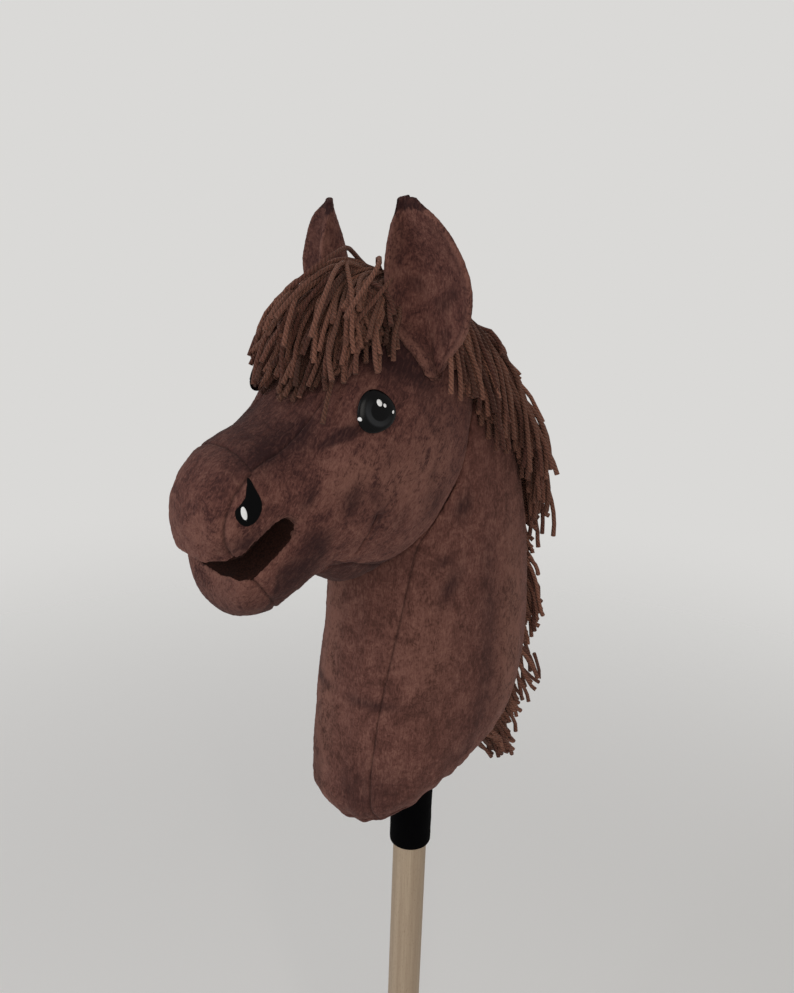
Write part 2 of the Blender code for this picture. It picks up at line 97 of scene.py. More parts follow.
def attribute(tree, name):
    return addNode(tree, "ShaderNodeAttribute", {"attribute_name": name}).outputs["Fac"]


def lengthOf(tree, vector):
    return addNode(tree, "ShaderNodeVectorMath", {"operation": "LENGTH"}, {0: vector}).outputs["Value"]


def newMaterial(name):
    made = bpy.data.materials.new(name)
    made.use_nodes = True
    return made, made.node_tree, made.node_tree.nodes["Principled BSDF"]


def dress(tree, shader, colour, roughness, specular=0.5, bump=None, sheen=None):
    tree.links.new(colour, shader.inputs["Base Color"])
    shader.inputs["Roughness"].default_value = roughness
    shader.inputs["Specular IOR Level"].default_value = specular
    if bump:
        height, strength, depth = bump  # depth in mm
        feeds = {"Strength": strength, "Distance": depth * mm, "Height": height}
        tree.links.new(addNode(tree, "ShaderNodeBump", {}, feeds).outputs[0], shader.inputs["Normal"])
    if sheen:
        weight, roughness, tint = sheen
        shader.inputs["Sheen Weight"].default_value = weight
        shader.inputs["Sheen Roughness"].default_value = roughness
        shader.inputs["Sheen Tint"].default_value = linear(tint)


def addObject(name, data):
    item = bpy.data.objects.new(name, data)
    bpy.context.scene.collection.objects.link(item)
    return item


def finishPiece(name, mesh, material, body, nodes):
    mesh.name = name
    mesh.materials.clear()
    mesh.materials.append(material)
    mesh.shade_smooth()
    item = addObject(name, mesh)
    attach(item, body)
    if nodes:
        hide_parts(*nodes)
    return item


def toMesh(work, name):
    mesh = bpy.data.meshes.new(name)
    work.to_mesh(mesh)
    work.free()
    return mesh


def sealed(work, name):  # a closed surface as a mesh, its doubles merged and all its faces turned outwards
    bmesh.ops.remove_doubles(work, verts=work.verts, dist=weld)
    bmesh.ops.recalc_face_normals(work, faces=work.faces)
    return toMesh(work, name)


def withModifiers(mesh, *steps):  # the mesh after some modifiers, as a plain mesh again
    item = addObject("bench", mesh)
    for kind, settings in steps:
        step = item.modifiers.new(kind.lower(), kind)
        for key, value in settings.items():
            setattr(step, key, value)
    graph = bpy.context.evaluated_depsgraph_get()
    made = bpy.data.meshes.new_from_object(item.evaluated_get(graph))
    bpy.data.objects.remove(item)
    return made


def gathered(meshes):
    work = bmesh.new()
    for mesh in meshes:
        work.from_mesh(mesh)
    return work


def cadMeshes(names):
    return [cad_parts[name].data for name in names]


def treeOf(work):
    tree = BVHTree.FromBMesh(work)
    work.free()
    return tree


def relax(work, passes, factor=0.5):
    for _ in range(passes):
        bmesh.ops.smooth_vert(work, verts=work.verts, factor=factor,
                              use_axis_x=True, use_axis_y=True, use_axis_z=True)


def readSpots(mesh):  # the vertices' places in mm
    values = np.empty(len(mesh.vertices) * 3)
    mesh.vertices.foreach_get("co", values)
    return values.reshape(-1, 3) / mm


def writeSpots(mesh, spots):
    mesh.vertices.foreach_set("co", (spots * mm).ravel())
    mesh.update()


def liftSpots(mesh, spots, lift):  # each vertex goes to its place plus its lift along the normal
    normals = np.empty(len(mesh.vertices) * 3)
    mesh.vertex_normals.foreach_get("vector", normals)
    writeSpots(mesh, spots + normals.reshape(-1, 3) * lift[:, None])


def writeValues(mesh, name, values):
    layer = mesh.attributes.new(name, "FLOAT", "POINT")
    layer.data.foreach_set("value", values.astype(np.float32))


def hills(spots, size):  # smooth noise at each place, its hills about as wide as the size
    return np.array([noise.noise(Vector(spot) / size) for spot in spots])


def ramp(value, start, span):  # 0 up to the start and 1 from a span beyond it
    return np.clip((value - start) / span, 0, 1)


def bell(value, middle, width):
    return np.exp(-((value - middle) / width) ** 2)


def plateau(value, middle, width):
    return np.exp(-((value - middle) / width) ** 4)


# camera: the photograph's place and turn, in mm, and its lens as a length in pixels

shot = {
    "place": (490.8, -466.3, 972.0),
    "right": (0.66044, 0.75026, 0.03018),
    "down": (0.28046, -0.20919, -0.93679),
    "focalPixels": 1075,
    "imageHeight": 993,
    "sensor": 36,
}


def makeCamera():
    data = bpy.data.cameras.new("shot")
    data.sensor_width = shot["sensor"]
    data.lens = shot["focalPixels"] * shot["sensor"] / shot["imageHeight"]
    camera = addObject("shot", data)
    right = Vector(shot["right"])
    down = Vector(shot["down"])
    turn = Matrix((right, -down, -right.cross(down))).transposed()
    camera.matrix_world = Matrix.Translation(Vector(shot["place"]) * mm) @ turn.to_4x4()
    bpy.context.scene.camera = camera


# floor, light and background

studio = {
    "floorColour": "#fbfaf8",
    "floorRoughness": 0.9,
    "floorSize": 12.0,
    "fade": (0.5, 1.9),  # metres from the foot over which the floor fades into the backdrop
    "backdropColour": "#dad9d7",
    "ambient": 0.50,
    "lamps": (  # place, what it points at, size in metres, watts, colour
        ((1.55, -1.05, 1.45), (0.0, -0.05, 0.70), 0.9, 11.0, "#fffaf2"),
        ((-0.35, -1.75, 1.5), (0.0, -0.05, 0.70), 1.2, 9.0, "#f6f8ff"),
        ((-1.2, 1.3, 1.7), (0.0, 0.0, 0.70), 1.2, 5.0, "#f8f9ff"),
    ),
}


def makeStudio():
    work = bmesh.new()
    bmesh.ops.create_grid(work, x_segments=1, y_segments=1, size=studio["floorSize"])
    floorMaterial, tree, shader = newMaterial("painted studio floor")  # matt paint, no pattern
    shader.inputs["Base Color"].default_value = linear(studio["floorColour"])
    shader.inputs["Roughness"].default_value = studio["floorRoughness"]
    away = lengthOf(tree, addNode(tree, "ShaderNodeTexCoord").outputs["Object"])
    fade = between(tree, away, *studio["fade"], kind="SMOOTHSTEP")
    clear = addNode(tree, "ShaderNodeBsdfTransparent")
    both = addNode(tree, "ShaderNodeMixShader", {}, {0: fade, 1: shader.outputs[0], 2: clear.outputs[0]})
    tree.links.new(both.outputs[0], tree.nodes["Material Output"].inputs["Surface"])
    floor = addObject("floor", toMesh(work, "floor"))
    floor.data.materials.append(floorMaterial)
    bpy.context.scene.view_settings.view_transform = "Standard"
    world = bpy.data.worlds.new("studio")
    bpy.context.scene.world = world
    world.use_nodes = True
    tree = world.node_tree
    path = addNode(tree, "ShaderNodeLightPath").outputs
    seen = calc(tree, "MAXIMUM", path["Is Camera Ray"], path["Is Glossy Ray"])
    seen = calc(tree, "MAXIMUM", seen, path["Is Transmission Ray"])
    back = tree.nodes["Background"]
    back.inputs["Color"].default_value = linear(studio["backdropColour"])
    tree.links.new(between(tree, seen, 0, 1, (studio["ambient"], 1.0)), back.inputs["Strength"])
    for i, (spot, aim, size, watts, colour) in enumerate(studio["lamps"]):
        lamp = bpy.data.lights.new("softbox %d" % i, "AREA")
        lamp.size = size
        lamp.energy = watts
        lamp.color = linear(colour)[:3]
        holder = addObject(lamp.name, lamp)
        holder.location = spot
        holder.rotation_euler = (Vector(spot) - Vector(aim)).to_track_quat("Z", "Y").to_euler()


# plush: polyester velboa, short pile brushed by hand. It looks matt, with lighter and darker
# patches where the pile lies over, fine streaks along the nap and a soft sheen at grazing angles

plush = {
    "base": "#643f38",
    "light": "#835b50",
    # colour of lighter nap and of painted light
    "lightNapAndPaintedLight": "#8a6154",
    "dark": "#3e2321",
    # colour of darker nap and of painted shade
    "darkNapAndPaintedShade": "#2f1919",
    "seam": "#1c0f0e",
    "sheen": (0.16, 0.4, "#c99d92"),  # weight, roughness, tint
    "roughness": 0.9,
    "specular": 0.2,
    "hair": (0.55, 0.55, 3.2),  # mm, finer in life, drawn as coarse as it needs to show
    "lock": (2.6, 2.6, 9.0),
    "napLean": 32,  # degrees forward of straight down
    "patch": 21.0,
    "mottle": 5.5,
    "bump": (0.8, 0.8),  # strength, and the pile's height in mm
    "raggedness": 1.6,
}


def plushMaterial(name, changes=None):
    look = dict(plush, **(changes or {}))
    made, tree, shader = newMaterial(name)
    lean = -look["napLean"]
    hairs = cloud(tree, look["hair"], 2.0, 0.5, 0.6, lean)
    locks = cloud(tree, look["lock"], 3.0, 1.2, 0.6, lean)
    patches = cloud(tree, (look["patch"],) * 3, 4.0, 1.4, 0.62)
    mottle = cloud(tree, (look["mottle"],) * 3, 3.0, 2.5, 0.6)
    tone = calc(tree, "ADD", between(tree, patches, 0.36, 0.64, (-0.55, 0.50)),
                between(tree, mottle, 0.34, 0.66, (-0.50, 0.46)))
    tone = calc(tree, "ADD", tone, between(tree, locks, 0.32, 0.68, (-0.36, 0.36)))
    tone = calc(tree, "ADD", tone, between(tree, hairs, 0.30, 0.70, (-0.50, 0.50)))
    # lighter nap and painted light, then darker nap and painted shade, mixed in by the skin's vertex values
    colour = mixColour(tree, attribute(tree, "lightNapAndLight"), look["base"], look["lightNapAndPaintedLight"])
    colour = mixColour(tree, calc(tree, "MULTIPLY", tone, 0.9, clamp=True), colour, look["light"])
    colour = mixColour(tree, calc(tree, "MULTIPLY", tone, -1.0, clamp=True), colour, look["dark"])
    ragged = calc(tree, "MULTIPLY_ADD", calc(tree, "SUBTRACT", 0.5, locks), look["raggedness"], 1.0)
    darkNapAndPaintedShade = calc(tree, "MULTIPLY", attribute(tree, "darkNapAndShade"), ragged, clamp=True)
    colour = mixColour(tree, darkNapAndPaintedShade, colour, look["darkNapAndPaintedShade"])
    colour = mixColour(tree, attribute(tree, "seam"), colour, look["seam"])
    pile = calc(tree, "ADD", calc(tree, "MULTIPLY", hairs, 0.7), calc(tree, "MULTIPLY", locks, 0.8))
    dress(tree, shader, colour, look["roughness"], look["specular"], (pile, *look["bump"]), look["sheen"])
    return made


# yarn: three-ply acrylic, soft spun and cut. Each strand shows its twist as slanting marks, painted shade in
# the grooves between its plies

yarn = {
    "base": "#6a4238",
    "light": "#a5715e",
    # colour of dark specks and of painted shade
    "dark": "#1d0f0d",
    "grooveShade": 0.45,
    "specks": 0.4,
    "fibre": 0.625,  # mm
    "diameter": 3.0,
    "plies": 3,
    "plyPitch": 8.0,  # mm along the strand for one turn of the twist
    "points": 11,
    "sides": 6,  # what Blender gives a bevel of resolution 1
    "cutEnd": 1.12,  # a cut end opens a little
    "roughness": 0.9,
    "specular": 0.2,
    "bump": (0.8, 0.5),
    "sheen": (0.25, 0.5, "#c9a593"),
}


def yarnMaterial():
    made, tree, shader = newMaterial("three-ply acrylic yarn")
    uv = addNode(tree, "ShaderNodeUVMap", {"uv_map": "twist"}).outputs[0]
    split = addNode(tree, "ShaderNodeSeparateXYZ", {}, {0: uv}).outputs
    turn = calc(tree, "MULTIPLY", calc(tree, "ADD", split[0], split[1]), 2 * pi * yarn["plies"])
    ply = calc(tree, "SINE", turn)
    fibre = cloud(tree, (yarn["fibre"],) * 3, rough=0.7)
    colour = mixColour(tree, attribute(tree, "tone"), yarn["base"], yarn["light"])
    # painted shade in the grooves of the twist
    colour = mixColour(tree, between(tree, ply, -1.0, 0.1, (yarn["grooveShade"], 0.0)), colour, yarn["dark"])
    colour = mixColour(tree, between(tree, fibre, 0.35, 0.6, (yarn["specks"], 0.0)), colour, yarn["dark"])
    # painted shade on strands lying under others and at their roots
    colour = mixColour(tree, attribute(tree, "strandShade"), colour, yarn["dark"])
    rise = calc(tree, "MULTIPLY_ADD", fibre, 0.5, ply)
    dress(tree, shader, colour, yarn["roughness"], yarn["specular"], (rise, *yarn["bump"]), yarn["sheen"])
    return made


# the stuffed skins of the head and the neck, from the CAD solids they stand for

headNodes = ["head_stuffing", "left_cheek_panel", "right_cheek_panel", "forehead_gusset",
             "muzzle_panel", "lower_lip_panel", "throat_gusset"]
neckNodes = ["neck_stuffing", "left_neck_panel", "right_neck_panel", "neck_front_gusset", "neck_base_panel"]

skin = {
    "voxel": 2.0,  # mm
    "passes": 9,
    "seamHalfWidth": 0.9,
    "seamDepth": 1.0,
    "seamReach": 7.0,
    "seamShade": (0.55, 0.5),  # strength, and half the shaded width in mm
    "search": 16,  # mm from a seam within which it counts
    "puff": 0.8,
    "puffReach": 14.0,
    "lump": 0.7,
    "lumpSize": 38.0,
    "pucker": 0.55,
    "puckerSize": 5.0,
    "pile": 0.22,
    "pileSize": 1.7,
    "shadeMost": 0.95,
    "glowMost": 0.6,
}
farOff = 99.0
noseSeam = -156
foreheadHalf = 27
throatTop = 724
eyePlace = (-88, 807)  # y and z in mm


def poleLine(y):  # height of the head's middle line, from the nose's end back to the poll
    return 746 + 52 * (y + 185) / 207


def neckBase(y):  # height of the slanting seam round the neck's lower end
    return 531 + 0.36 * y


# seams: a point on each one's plane in mm, the way across it, whether both sides have it, and where
# it runs

headSeams = [
    ((foreheadHalf, 0, 0), (1, 0, 0), True, lambda c: c.y > noseSeam and c.z > poleLine(c.y) and c.x > 0),
    ((foreheadHalf + 1, noseSeam, 0), (1, 0, 0), True,
     lambda c: c.y <= noseSeam and c.z > throatTop and c.x > 0),
    ((0, noseSeam, 0), (0, 1, 0), False, lambda c: abs(c.x) < foreheadHalf and c.z > poleLine(c.y)),
    ((0, -145, 698), (0, 0.786, 0.618), False, lambda c: c.z < 716 and -160 < c.y < -120),
    ((38, -92, 0), (1, -0.4, 0), True, lambda c: -108 < c.y < -92 and c.z < throatTop and c.x > 15),
    ((38, -92, 0), (1, 0.3, 0), True, lambda c: -92 <= c.y < -50 and c.z < throatTop and c.x > 15),
    ((0, -107, 0), (0, 1, 0), False, lambda c: abs(c.x) < 32 and c.z < throatTop),
    ((53, -86.4, 744.1), (-0.06, -0.95, 0.31), True,
     lambda c: 719 < c.z < 745 and c.x > 30 and -98 < c.y < -82),
]
neckSeams = [
    ((30, 0, 500), (1, 0, -0.05), True, lambda c: c.y < 0 and neckBase(c.y) < c.z < 745 and c.x > 0),
    ((0, 0, neckBase(0)), (0, -0.36, 1), False, lambda c: True),
    ((0, 0, 0), (1, 0, 0), False, lambda c: c.y > 0 and c.z > neckBase(c.y)),
]


def bothSides(seams):
    flip = Vector((-1, 1, 1))
    for at, across, mirrored, where in seams:
        at, across = Vector(at), Vector(across).normalized()
        yield at, across, where
        if mirrored:
            yield at * flip, across * flip, lambda c, where=where: where(c * flip)


def gatherSkin(nodes, voxel, passes):  # one closed, evenly meshed and softened surface round CAD solids
    work = gathered(cadMeshes(nodes))
    bmesh.ops.remove_doubles(work, verts=work.verts, dist=weld)
    mesh = withModifiers(toMesh(work, "skin"), ("REMESH", {"mode": "VOXEL", "voxel_size": voxel * mm}))
    work = gathered([mesh])
    relax(work, passes)
    return work


def dropSmallIslands(work):
    left = set(work.verts)
    islands = []
    while left:
        edge = [left.pop()]
        island = set(edge)
        while edge:
            for link in edge.pop().link_edges:
                for vert in link.verts:
                    if vert not in island:
                        island.add(vert)
                        edge.append(vert)
        left -= island
        islands.append(island)
    largest = max(islands, key=len)
    bmesh.ops.delete(work, geom=[v for v in work.verts if v not in largest], context="VERTS")


def cutSeams(work, seams):  # three edge loops along each seam, so that its groove is crisp
    for at, across, where in bothSides(seams):
        for shift in (-skin["seamHalfWidth"], 0, skin["seamHalfWidth"]):
            faces = [f for f in work.faces if where(f.calc_center_median() / mm)]
            edges = {e for f in faces for e in f.edges}
            verts = {v for f in faces for v in f.verts}
            bmesh.ops.bisect_plane(work, geom=faces + list(edges) + list(verts), dist=0.15 * mm,
                                   plane_co=(at + across * shift) * mm, plane_no=across)


def seamDistance(spots, seams):  # mm from each point to the nearest seam
    nearest = np.full(len(spots), farOff)
    for at, across, where in bothSides(seams):
        away = np.abs((spots - np.array(at)) @ np.array(across))
        for i in np.nonzero(away < np.minimum(nearest, skin["search"]))[0]:
            if where(Vector(spots[i])):
                nearest[i] = away[i]
    return nearest


def shapeSkin(mesh, seams, extra):  # puffs the cloth between its seams and gives it lumps, puckers and pile
    spots = readSpots(mesh)
    away = seamDistance(spots, seams)
    lift = skin["puff"] * (1 - np.exp(-away / skin["puffReach"])) - skin["puff"] * 0.5
    lift -= skin["seamDepth"] * bell(away, 0, skin["seamHalfWidth"])
    lift += (hills(spots, skin["lumpSize"]) * skin["lump"]
             + hills(spots, skin["puckerSize"]) * skin["pucker"] * np.exp(-away / skin["seamReach"])
             + hills(spots, skin["pileSize"]) * skin["pile"])
    lift += extra(spots)
    liftSpots(mesh, spots, lift)
    strength, width = skin["seamShade"]
    writeValues(mesh, "seam", strength * bell(away, 0, width))
    return spots


def makeSkin(name, nodes, seams, extra):
    work = gatherSkin(nodes, skin["voxel"], skin["passes"])
    dropSmallIslands(work)
    cutSeams(work, seams)
    mesh = withModifiers(toMesh(work, name), onceFiner)
    return mesh, shapeSkin(mesh, seams, extra)


def finishSkin(name, mesh, material, nodes, dark, light):
    writeValues(mesh, "darkNapAndShade", np.clip(dark, 0, skin["shadeMost"]))
    writeValues(mesh, "lightNapAndLight", np.clip(light, 0, skin["glowMost"]))
    item = finishPiece(name, mesh, material, horse, nodes)
    return item


# marks seen from the side, darker and lighter nap in the brushed pile together with painted shade and
# painted light: y, z, half length, half width, tilt, strength

headDarkNapAndShade = [
    (-165, 739, 11, 6, 25, 0.85), (-104, 757, 9, 6, 70, 0.8), (-86, 744, 8, 4, 80, 0.8),
    (-129, 761, 7, 3, 55, 0.85), (-127, 738, 8, 6, 40, 0.65), (-126, 797, 13, 5, 38, 0.55),
    (-90, 757, 6, 4, 80, 0.5), (-40, 741, 12, 5, 55, 0.6), (-46, 762, 5, 3, 70, 0.5),
    (-105, 796, 8, 3.6, 17, 1.5), (-113, 792, 8, 2.2, 17, 0.9), (-66, 842, 20, 11, 60, 1.1),
    (-60, 700, 16, 6, 20, 0.35), (-132, 712, 13, 8, 60, 0.35), (-140, 790, 16, 5, 40, 0.35),
    (-80, 780, 9, 3, 70, 0.25), (-70, 738, 9, 4, 60, 0.3), (-117, 730, 8, 4, 70, 0.25),
    (-58, 829, 25, 9, -68, 0.85), (-154, 786, 22, 6, 26, 0.4), (-48, 748, 9, 4, 60, 0.35),
]
headLightNapAndLight = [
    (-46, 768, 26, 16, 80, 0.45), (-102, 772, 18, 12, 30, 0.5), (-74, 764, 18, 14, 60, 0.4),
    (-172, 745, 12, 16, 90, 0.25), (-170, 706, 16, 10, 0, 0.25),
]
neckDarkNapAndShade = [
    (-22, 680, 13, 6, 60, 0.8), (-10, 731, 9, 6, 40, 0.85), (-26, 697, 8, 5, 20, 0.5),
    (8.5, 690, 20, 8, 86, 0.3), (10, 655, 24, 9, 90, 0.42), (9.5, 618, 24, 10, 92, 0.42),
    (5, 582, 20, 10, 80, 0.42), (-6, 551, 16, 10, 60, 0.35), (-68, 598, 13, 4, 5, 0.7),
    (-72, 528, 26, 22, 90, 0.5), (-40, 600, 12, 7, 30, 0.2), (-60, 702, 16, 18, 90, 0.35),
]
neckLightNapAndLight = [
    (36, 627, 70, 15, 90, 0.8), (-38, 640, 50, 22, 90, 0.3), (-78, 570, 30, 10, 90, 0.15),
]


# sums soft marks of nap, painted shade and painted light
def brushed(spots, markTable):
    total = np.zeros(len(spots))
    for y, z, length, width, tilt, strength in markTable:
        dy = spots[:, 1] - y
        dz = spots[:, 2] - z
        along = dy * cos(radians(tilt)) + dz * sin(radians(tilt))
        over = -dy * sin(radians(tilt)) + dz * cos(radians(tilt))
        total += strength * np.exp(-(along / length) ** 2 - (over / width) ** 2)
    return total


# patches: a strength or a height in mm, then the soft limits that multiply it, each on a measure

crisp = 0.001  # a span so short that the limit is a clean edge
lowerLip = (("z", ramp, 722, -5), ("z", ramp, 694, 14))
headRelief = (
    (-0.9, ("eye", plateau, 0, 14), ("side", ramp, 30, crisp)),  # the cloth dips round the eyes
    (0.8, ("lip", bell, 0, 1.6)),  # a welt round the mouth
    (-5.0, ("y", bell, -116, 20), ("top", ramp, 6, 16)),  # the hollow bridge of the nose
    (5.0, ("y", bell, -84, 20), ("z", ramp, throatTop, -8), ("side", ramp, 34, -10)),  # the throat hangs
)
lipRise = ((3.5, ("y", bell, -171, 9), ("side", ramp, 10, 10), *lowerLip),)
lipBack = ((10.0, ("y", ramp, -166, -14), ("z", ramp, 701, 9), *lowerLip),)
headShade = (
    (0.85, ("z", ramp, 815, 22), ("y", ramp, -15, -30)),  # painted shadow under the forelock
    (0.6, ("top", ramp, 12, 18), ("y", bell, -142, 26)),  # bridge of the nose, darker nap with painted shade
    (0.7, ("jaw", ramp, 8, -8), ("y", ramp, -148, 3), ("y", ramp, -112, -8)),  # painted shade under the jaw
    (0.75, ("z", ramp, throatTop, -4), ("side", ramp, 38, -crisp), ("y", ramp, -107, 2)),  # throat
    (0.6, ("z", ramp, 709, -18), ("y", ramp, -140, -8)),  # chin, darker towards its bottom, painted shade
    (-0.5, ("brow", bell, 0, 11)),  # a lighter place above the eye
)
# painted highlight along the welt round the mouth
headGlow = ((0.45, ("lip", bell, 0, 1.6)),)
marksFrom = (12, 10)  # mm from the middle, where the marks begin, and over how many mm
neckMarksFrom = (6, 8)
chest = ("y", ramp, -40, -25)
neckRelief = ((-3.4, ("z", plateau, 600, 56), chest), (3.0, ("z", bell, 508, 18), chest))
# painted shade at the foot of the neck, where the cloth gathers in folds
neckShade = ((0.4, ("below", ramp, 3, -8)),)
neckGlow = ((0.8, ("x", bell, -18, 12), ("y", ramp, -30, -crisp)),)  # a light streak down its front, lighter nap with painted light

mouthEdge = ((-183, 725), (-168, 729), (-155, 742), (-143, 751), (-134, 750), (-136, 740), (-145, 730),
             (-156, 719), (-166, 713), (-172, 711))  # y and z in mm
browPlace = (50, -85, 828)


def toLine(spots, points):  # mm from each point to a line, seen from the side
    nearest = np.full(len(spots), farOff)
    for (ay, az), (by, bz) in zip(points, points[1:]):
        run = np.array((by - ay, bz - az))
        share = ((spots[:, 1] - ay) * run[0] + (spots[:, 2] - az) * run[1]) / (run @ run)
        share = np.clip(share, 0, 1)
        away = np.hypot(spots[:, 1] - ay - share * run[0], spots[:, 2] - az - share * run[1])
        nearest = np.minimum(nearest, away)
    return nearest


def measures(spots):
    x, y, z = spots.T
    side = np.abs(x)
    return {
        "x": x, "y": y, "z": z, "side": side,
        "top": z - poleLine(y),
        "below": z - neckBase(y),
        "jaw": z - (715 + (y + 148) * 0.72),
        "eye": np.hypot(y - eyePlace[0], z - eyePlace[1]),
        "brow": np.linalg.norm((side - browPlace[0], y - browPlace[1], z - browPlace[2]), axis=0),
        "lip": toLine(spots, mouthEdge),
    }


def patched(known, patches):
    total = 0
    for strength, *limits in patches:
        for measure, shape, start, span in limits:
            strength = strength * shape(known[measure], start, span)
        total = total + strength
    return total


def headExtra(spots):
    return patched(measures(spots), headRelief)


def setLip(mesh):  # the lower lip's edge stands up at its sides and is rounded back at its front
    spots = readSpots(mesh)
    known = measures(spots)
    moves = np.zeros_like(spots)
    moves[:, 1] = patched(known, lipBack)
    moves[:, 2] = patched(known, lipRise)
    writeSpots(mesh, spots + moves)


def makeHead(material):
    mesh, spots = makeSkin("headPlush", headNodes, headSeams, headExtra)
    setLip(mesh)
    known = measures(spots)
    # darker nap with painted shade, and lighter nap with painted light
    dark = brushed(spots, headDarkNapAndShade) * ramp(known["side"], *marksFrom) + patched(known, headShade)
    light = brushed(spots, headLightNapAndLight) + patched(known, headGlow)
    return finishSkin("headPlush", mesh, material, headNodes, dark, light)


gather = {"reach": 16, "height": 0.9, "folds": 19, "wander": 7, "noiseRing": (3.4, 4.7), "end": (46, -20)}


def neckExtra(spots):  # the cloth is gathered in folds round the stick under the neck
    known = measures(spots)
    below = np.abs(known["below"])
    turn = np.arctan2(spots[:, 1], spots[:, 0])
    ring, level = gather["noiseRing"]
    wander = np.array([noise.noise(Vector((cos(a) * ring, sin(a) * ring, level))) for a in turn])
    folds = np.sin(turn * gather["folds"] + wander * gather["wander"]) * gather["height"]
    folds = np.exp(-below / gather["reach"]) * folds * ramp(below, *gather["end"])
    return folds + patched(known, neckRelief)


def makeNeck(material):
    mesh, spots = makeSkin("neckPlush", neckNodes, neckSeams, neckExtra)
    known = measures(spots)
    # darker nap with painted shade, and lighter nap with painted light
    dark = brushed(spots, neckDarkNapAndShade) * ramp(known["side"], *neckMarksFrom) + patched(known, neckShade)
    light = brushed(spots, neckLightNapAndLight) + patched(known, neckGlow)
    return finishSkin("neckPlush", mesh, material, neckNodes, dark, light)


def leafMesh(work, way, thickness, name):  # a grid turned to face the way and made thick behind
    work.normal_update()
    if sum((f.normal for f in work.faces), Vector()).dot(way) < 0:
        bmesh.ops.reverse_faces(work, faces=work.faces)
    thicker = ("SOLIDIFY", {"thickness": thickness * mm, "offset": -1})
    return withModifiers(toMesh(work, name), thicker, onceFiner)


pushReach = 0.03  # metres


def pushOut(spot, tree, room):  # keeps a point of a strand off the skin below it
    near, normal, _, away = tree.find_nearest(spot * mm)
    if near is None:
        return spot
    lift = (spot * mm - near).dot(normal) / mm
    if lift < room and away < pushReach:
        return near / mm + normal * room
    return spot


# ears: two layers of velboa sewn round the edge and turned, cupped forward, the foot folded in a
# pleat and sewn down on the side of the head

ears = {
    "left": ((43, -41, 810), (36, -59, 918)),  # foot and tip, mm
    "right": ((-38, -41, 808), (-32, -59, 911)),
    "turn": 25,
    "grid": (44, 72),
    "rows": (  # share from foot to tip, then in mm the places across the ear of its inner edge, its
        # middle and its outer edge, and how far forward of the foot each of these three stands
        (0.08, 5.0, 7.5, 10.0, 10.0, 7.0, 7.0),
        (0.14, 4.4, 6.5, 14.0, 13.5, 7.0, 8.0),
        (0.21, 1.8, 5.5, 20.0, 15.0, 6.0, 8.5),
        (0.29, -6.0, 4.5, 28.3, 14.5, 3.5, 10.0),
        (0.36, -12.0, 3.0, 32.6, 12.5, 1.0, 11.0),
        (0.42, -12.6, 1.0, 34.8, 12.5, -1.0, 12.0),
        (0.51, -11.2, 0.0, 36.6, 12.5, -4.0, 12.0),
        (0.60, -11.0, 0.0, 36.0, 11.5, -6.0, 12.0),
        (0.70, -10.4, 0.0, 32.4, 10.0, -6.0, 10.0),
        (0.80, -7.8, 0.0, 27.0, 8.0, -4.5, 8.0),
        (0.88, -5.8, 0.0, 20.4, 5.0, -2.5, 6.0),
        (0.95, -4.4, 0.5, 12.6, 2.5, -0.5, 3.0),
        (0.99, -3.4, 0.8, 7.4, 1.0, 0.0, 1.5),
        (1.03, -2.0, 1.2, 4.4, 0.0, 0.0, 0.0),
    ),
    "cup": 1.6,  # how late across the leaf its edge turns forward
    "droop": 0.02,
    "footRound": 0.04,
    "thickness": 3.4,
    "rest": 3.2,  # how far the sewn-down foot stands off the head
    "restTop": 0.45,
    "lobe": 1.6,
    "pleatPlace": 0.1,
    "pleatDepth": 3.0,
    "pleatTop": 0.34,
    "hem": 3.4,  # mm from the edge to the groove of its seam
    "hemTop": 0.5,
    "hemFade": 0.15,
    "hemDepth": 0.5,
    "edgeRoll": 0.7,
    "lump": 1.1,
    "cap": 0.95,  # share of the height from which the tip is dark
    "capFade": 0.02,
}


def smoothTable(level, levels, values):  # a soft curve through a table's values
    total = 0
    weight = 0
    for step in (-0.04, -0.02, 0, 0.02, 0.04):
        share = exp(-(step / 0.03) ** 2)
        total += share * float(np.interp(level + step, levels, values))
        weight += share
    return total / weight


def roundFoot(level, low):  # narrows the leaf to a round end at its foot
    start = float(ramp(level, low + ears["footRound"], -ears["footRound"]))
    return max(0.12, (1 - start ** 2) ** 0.5)


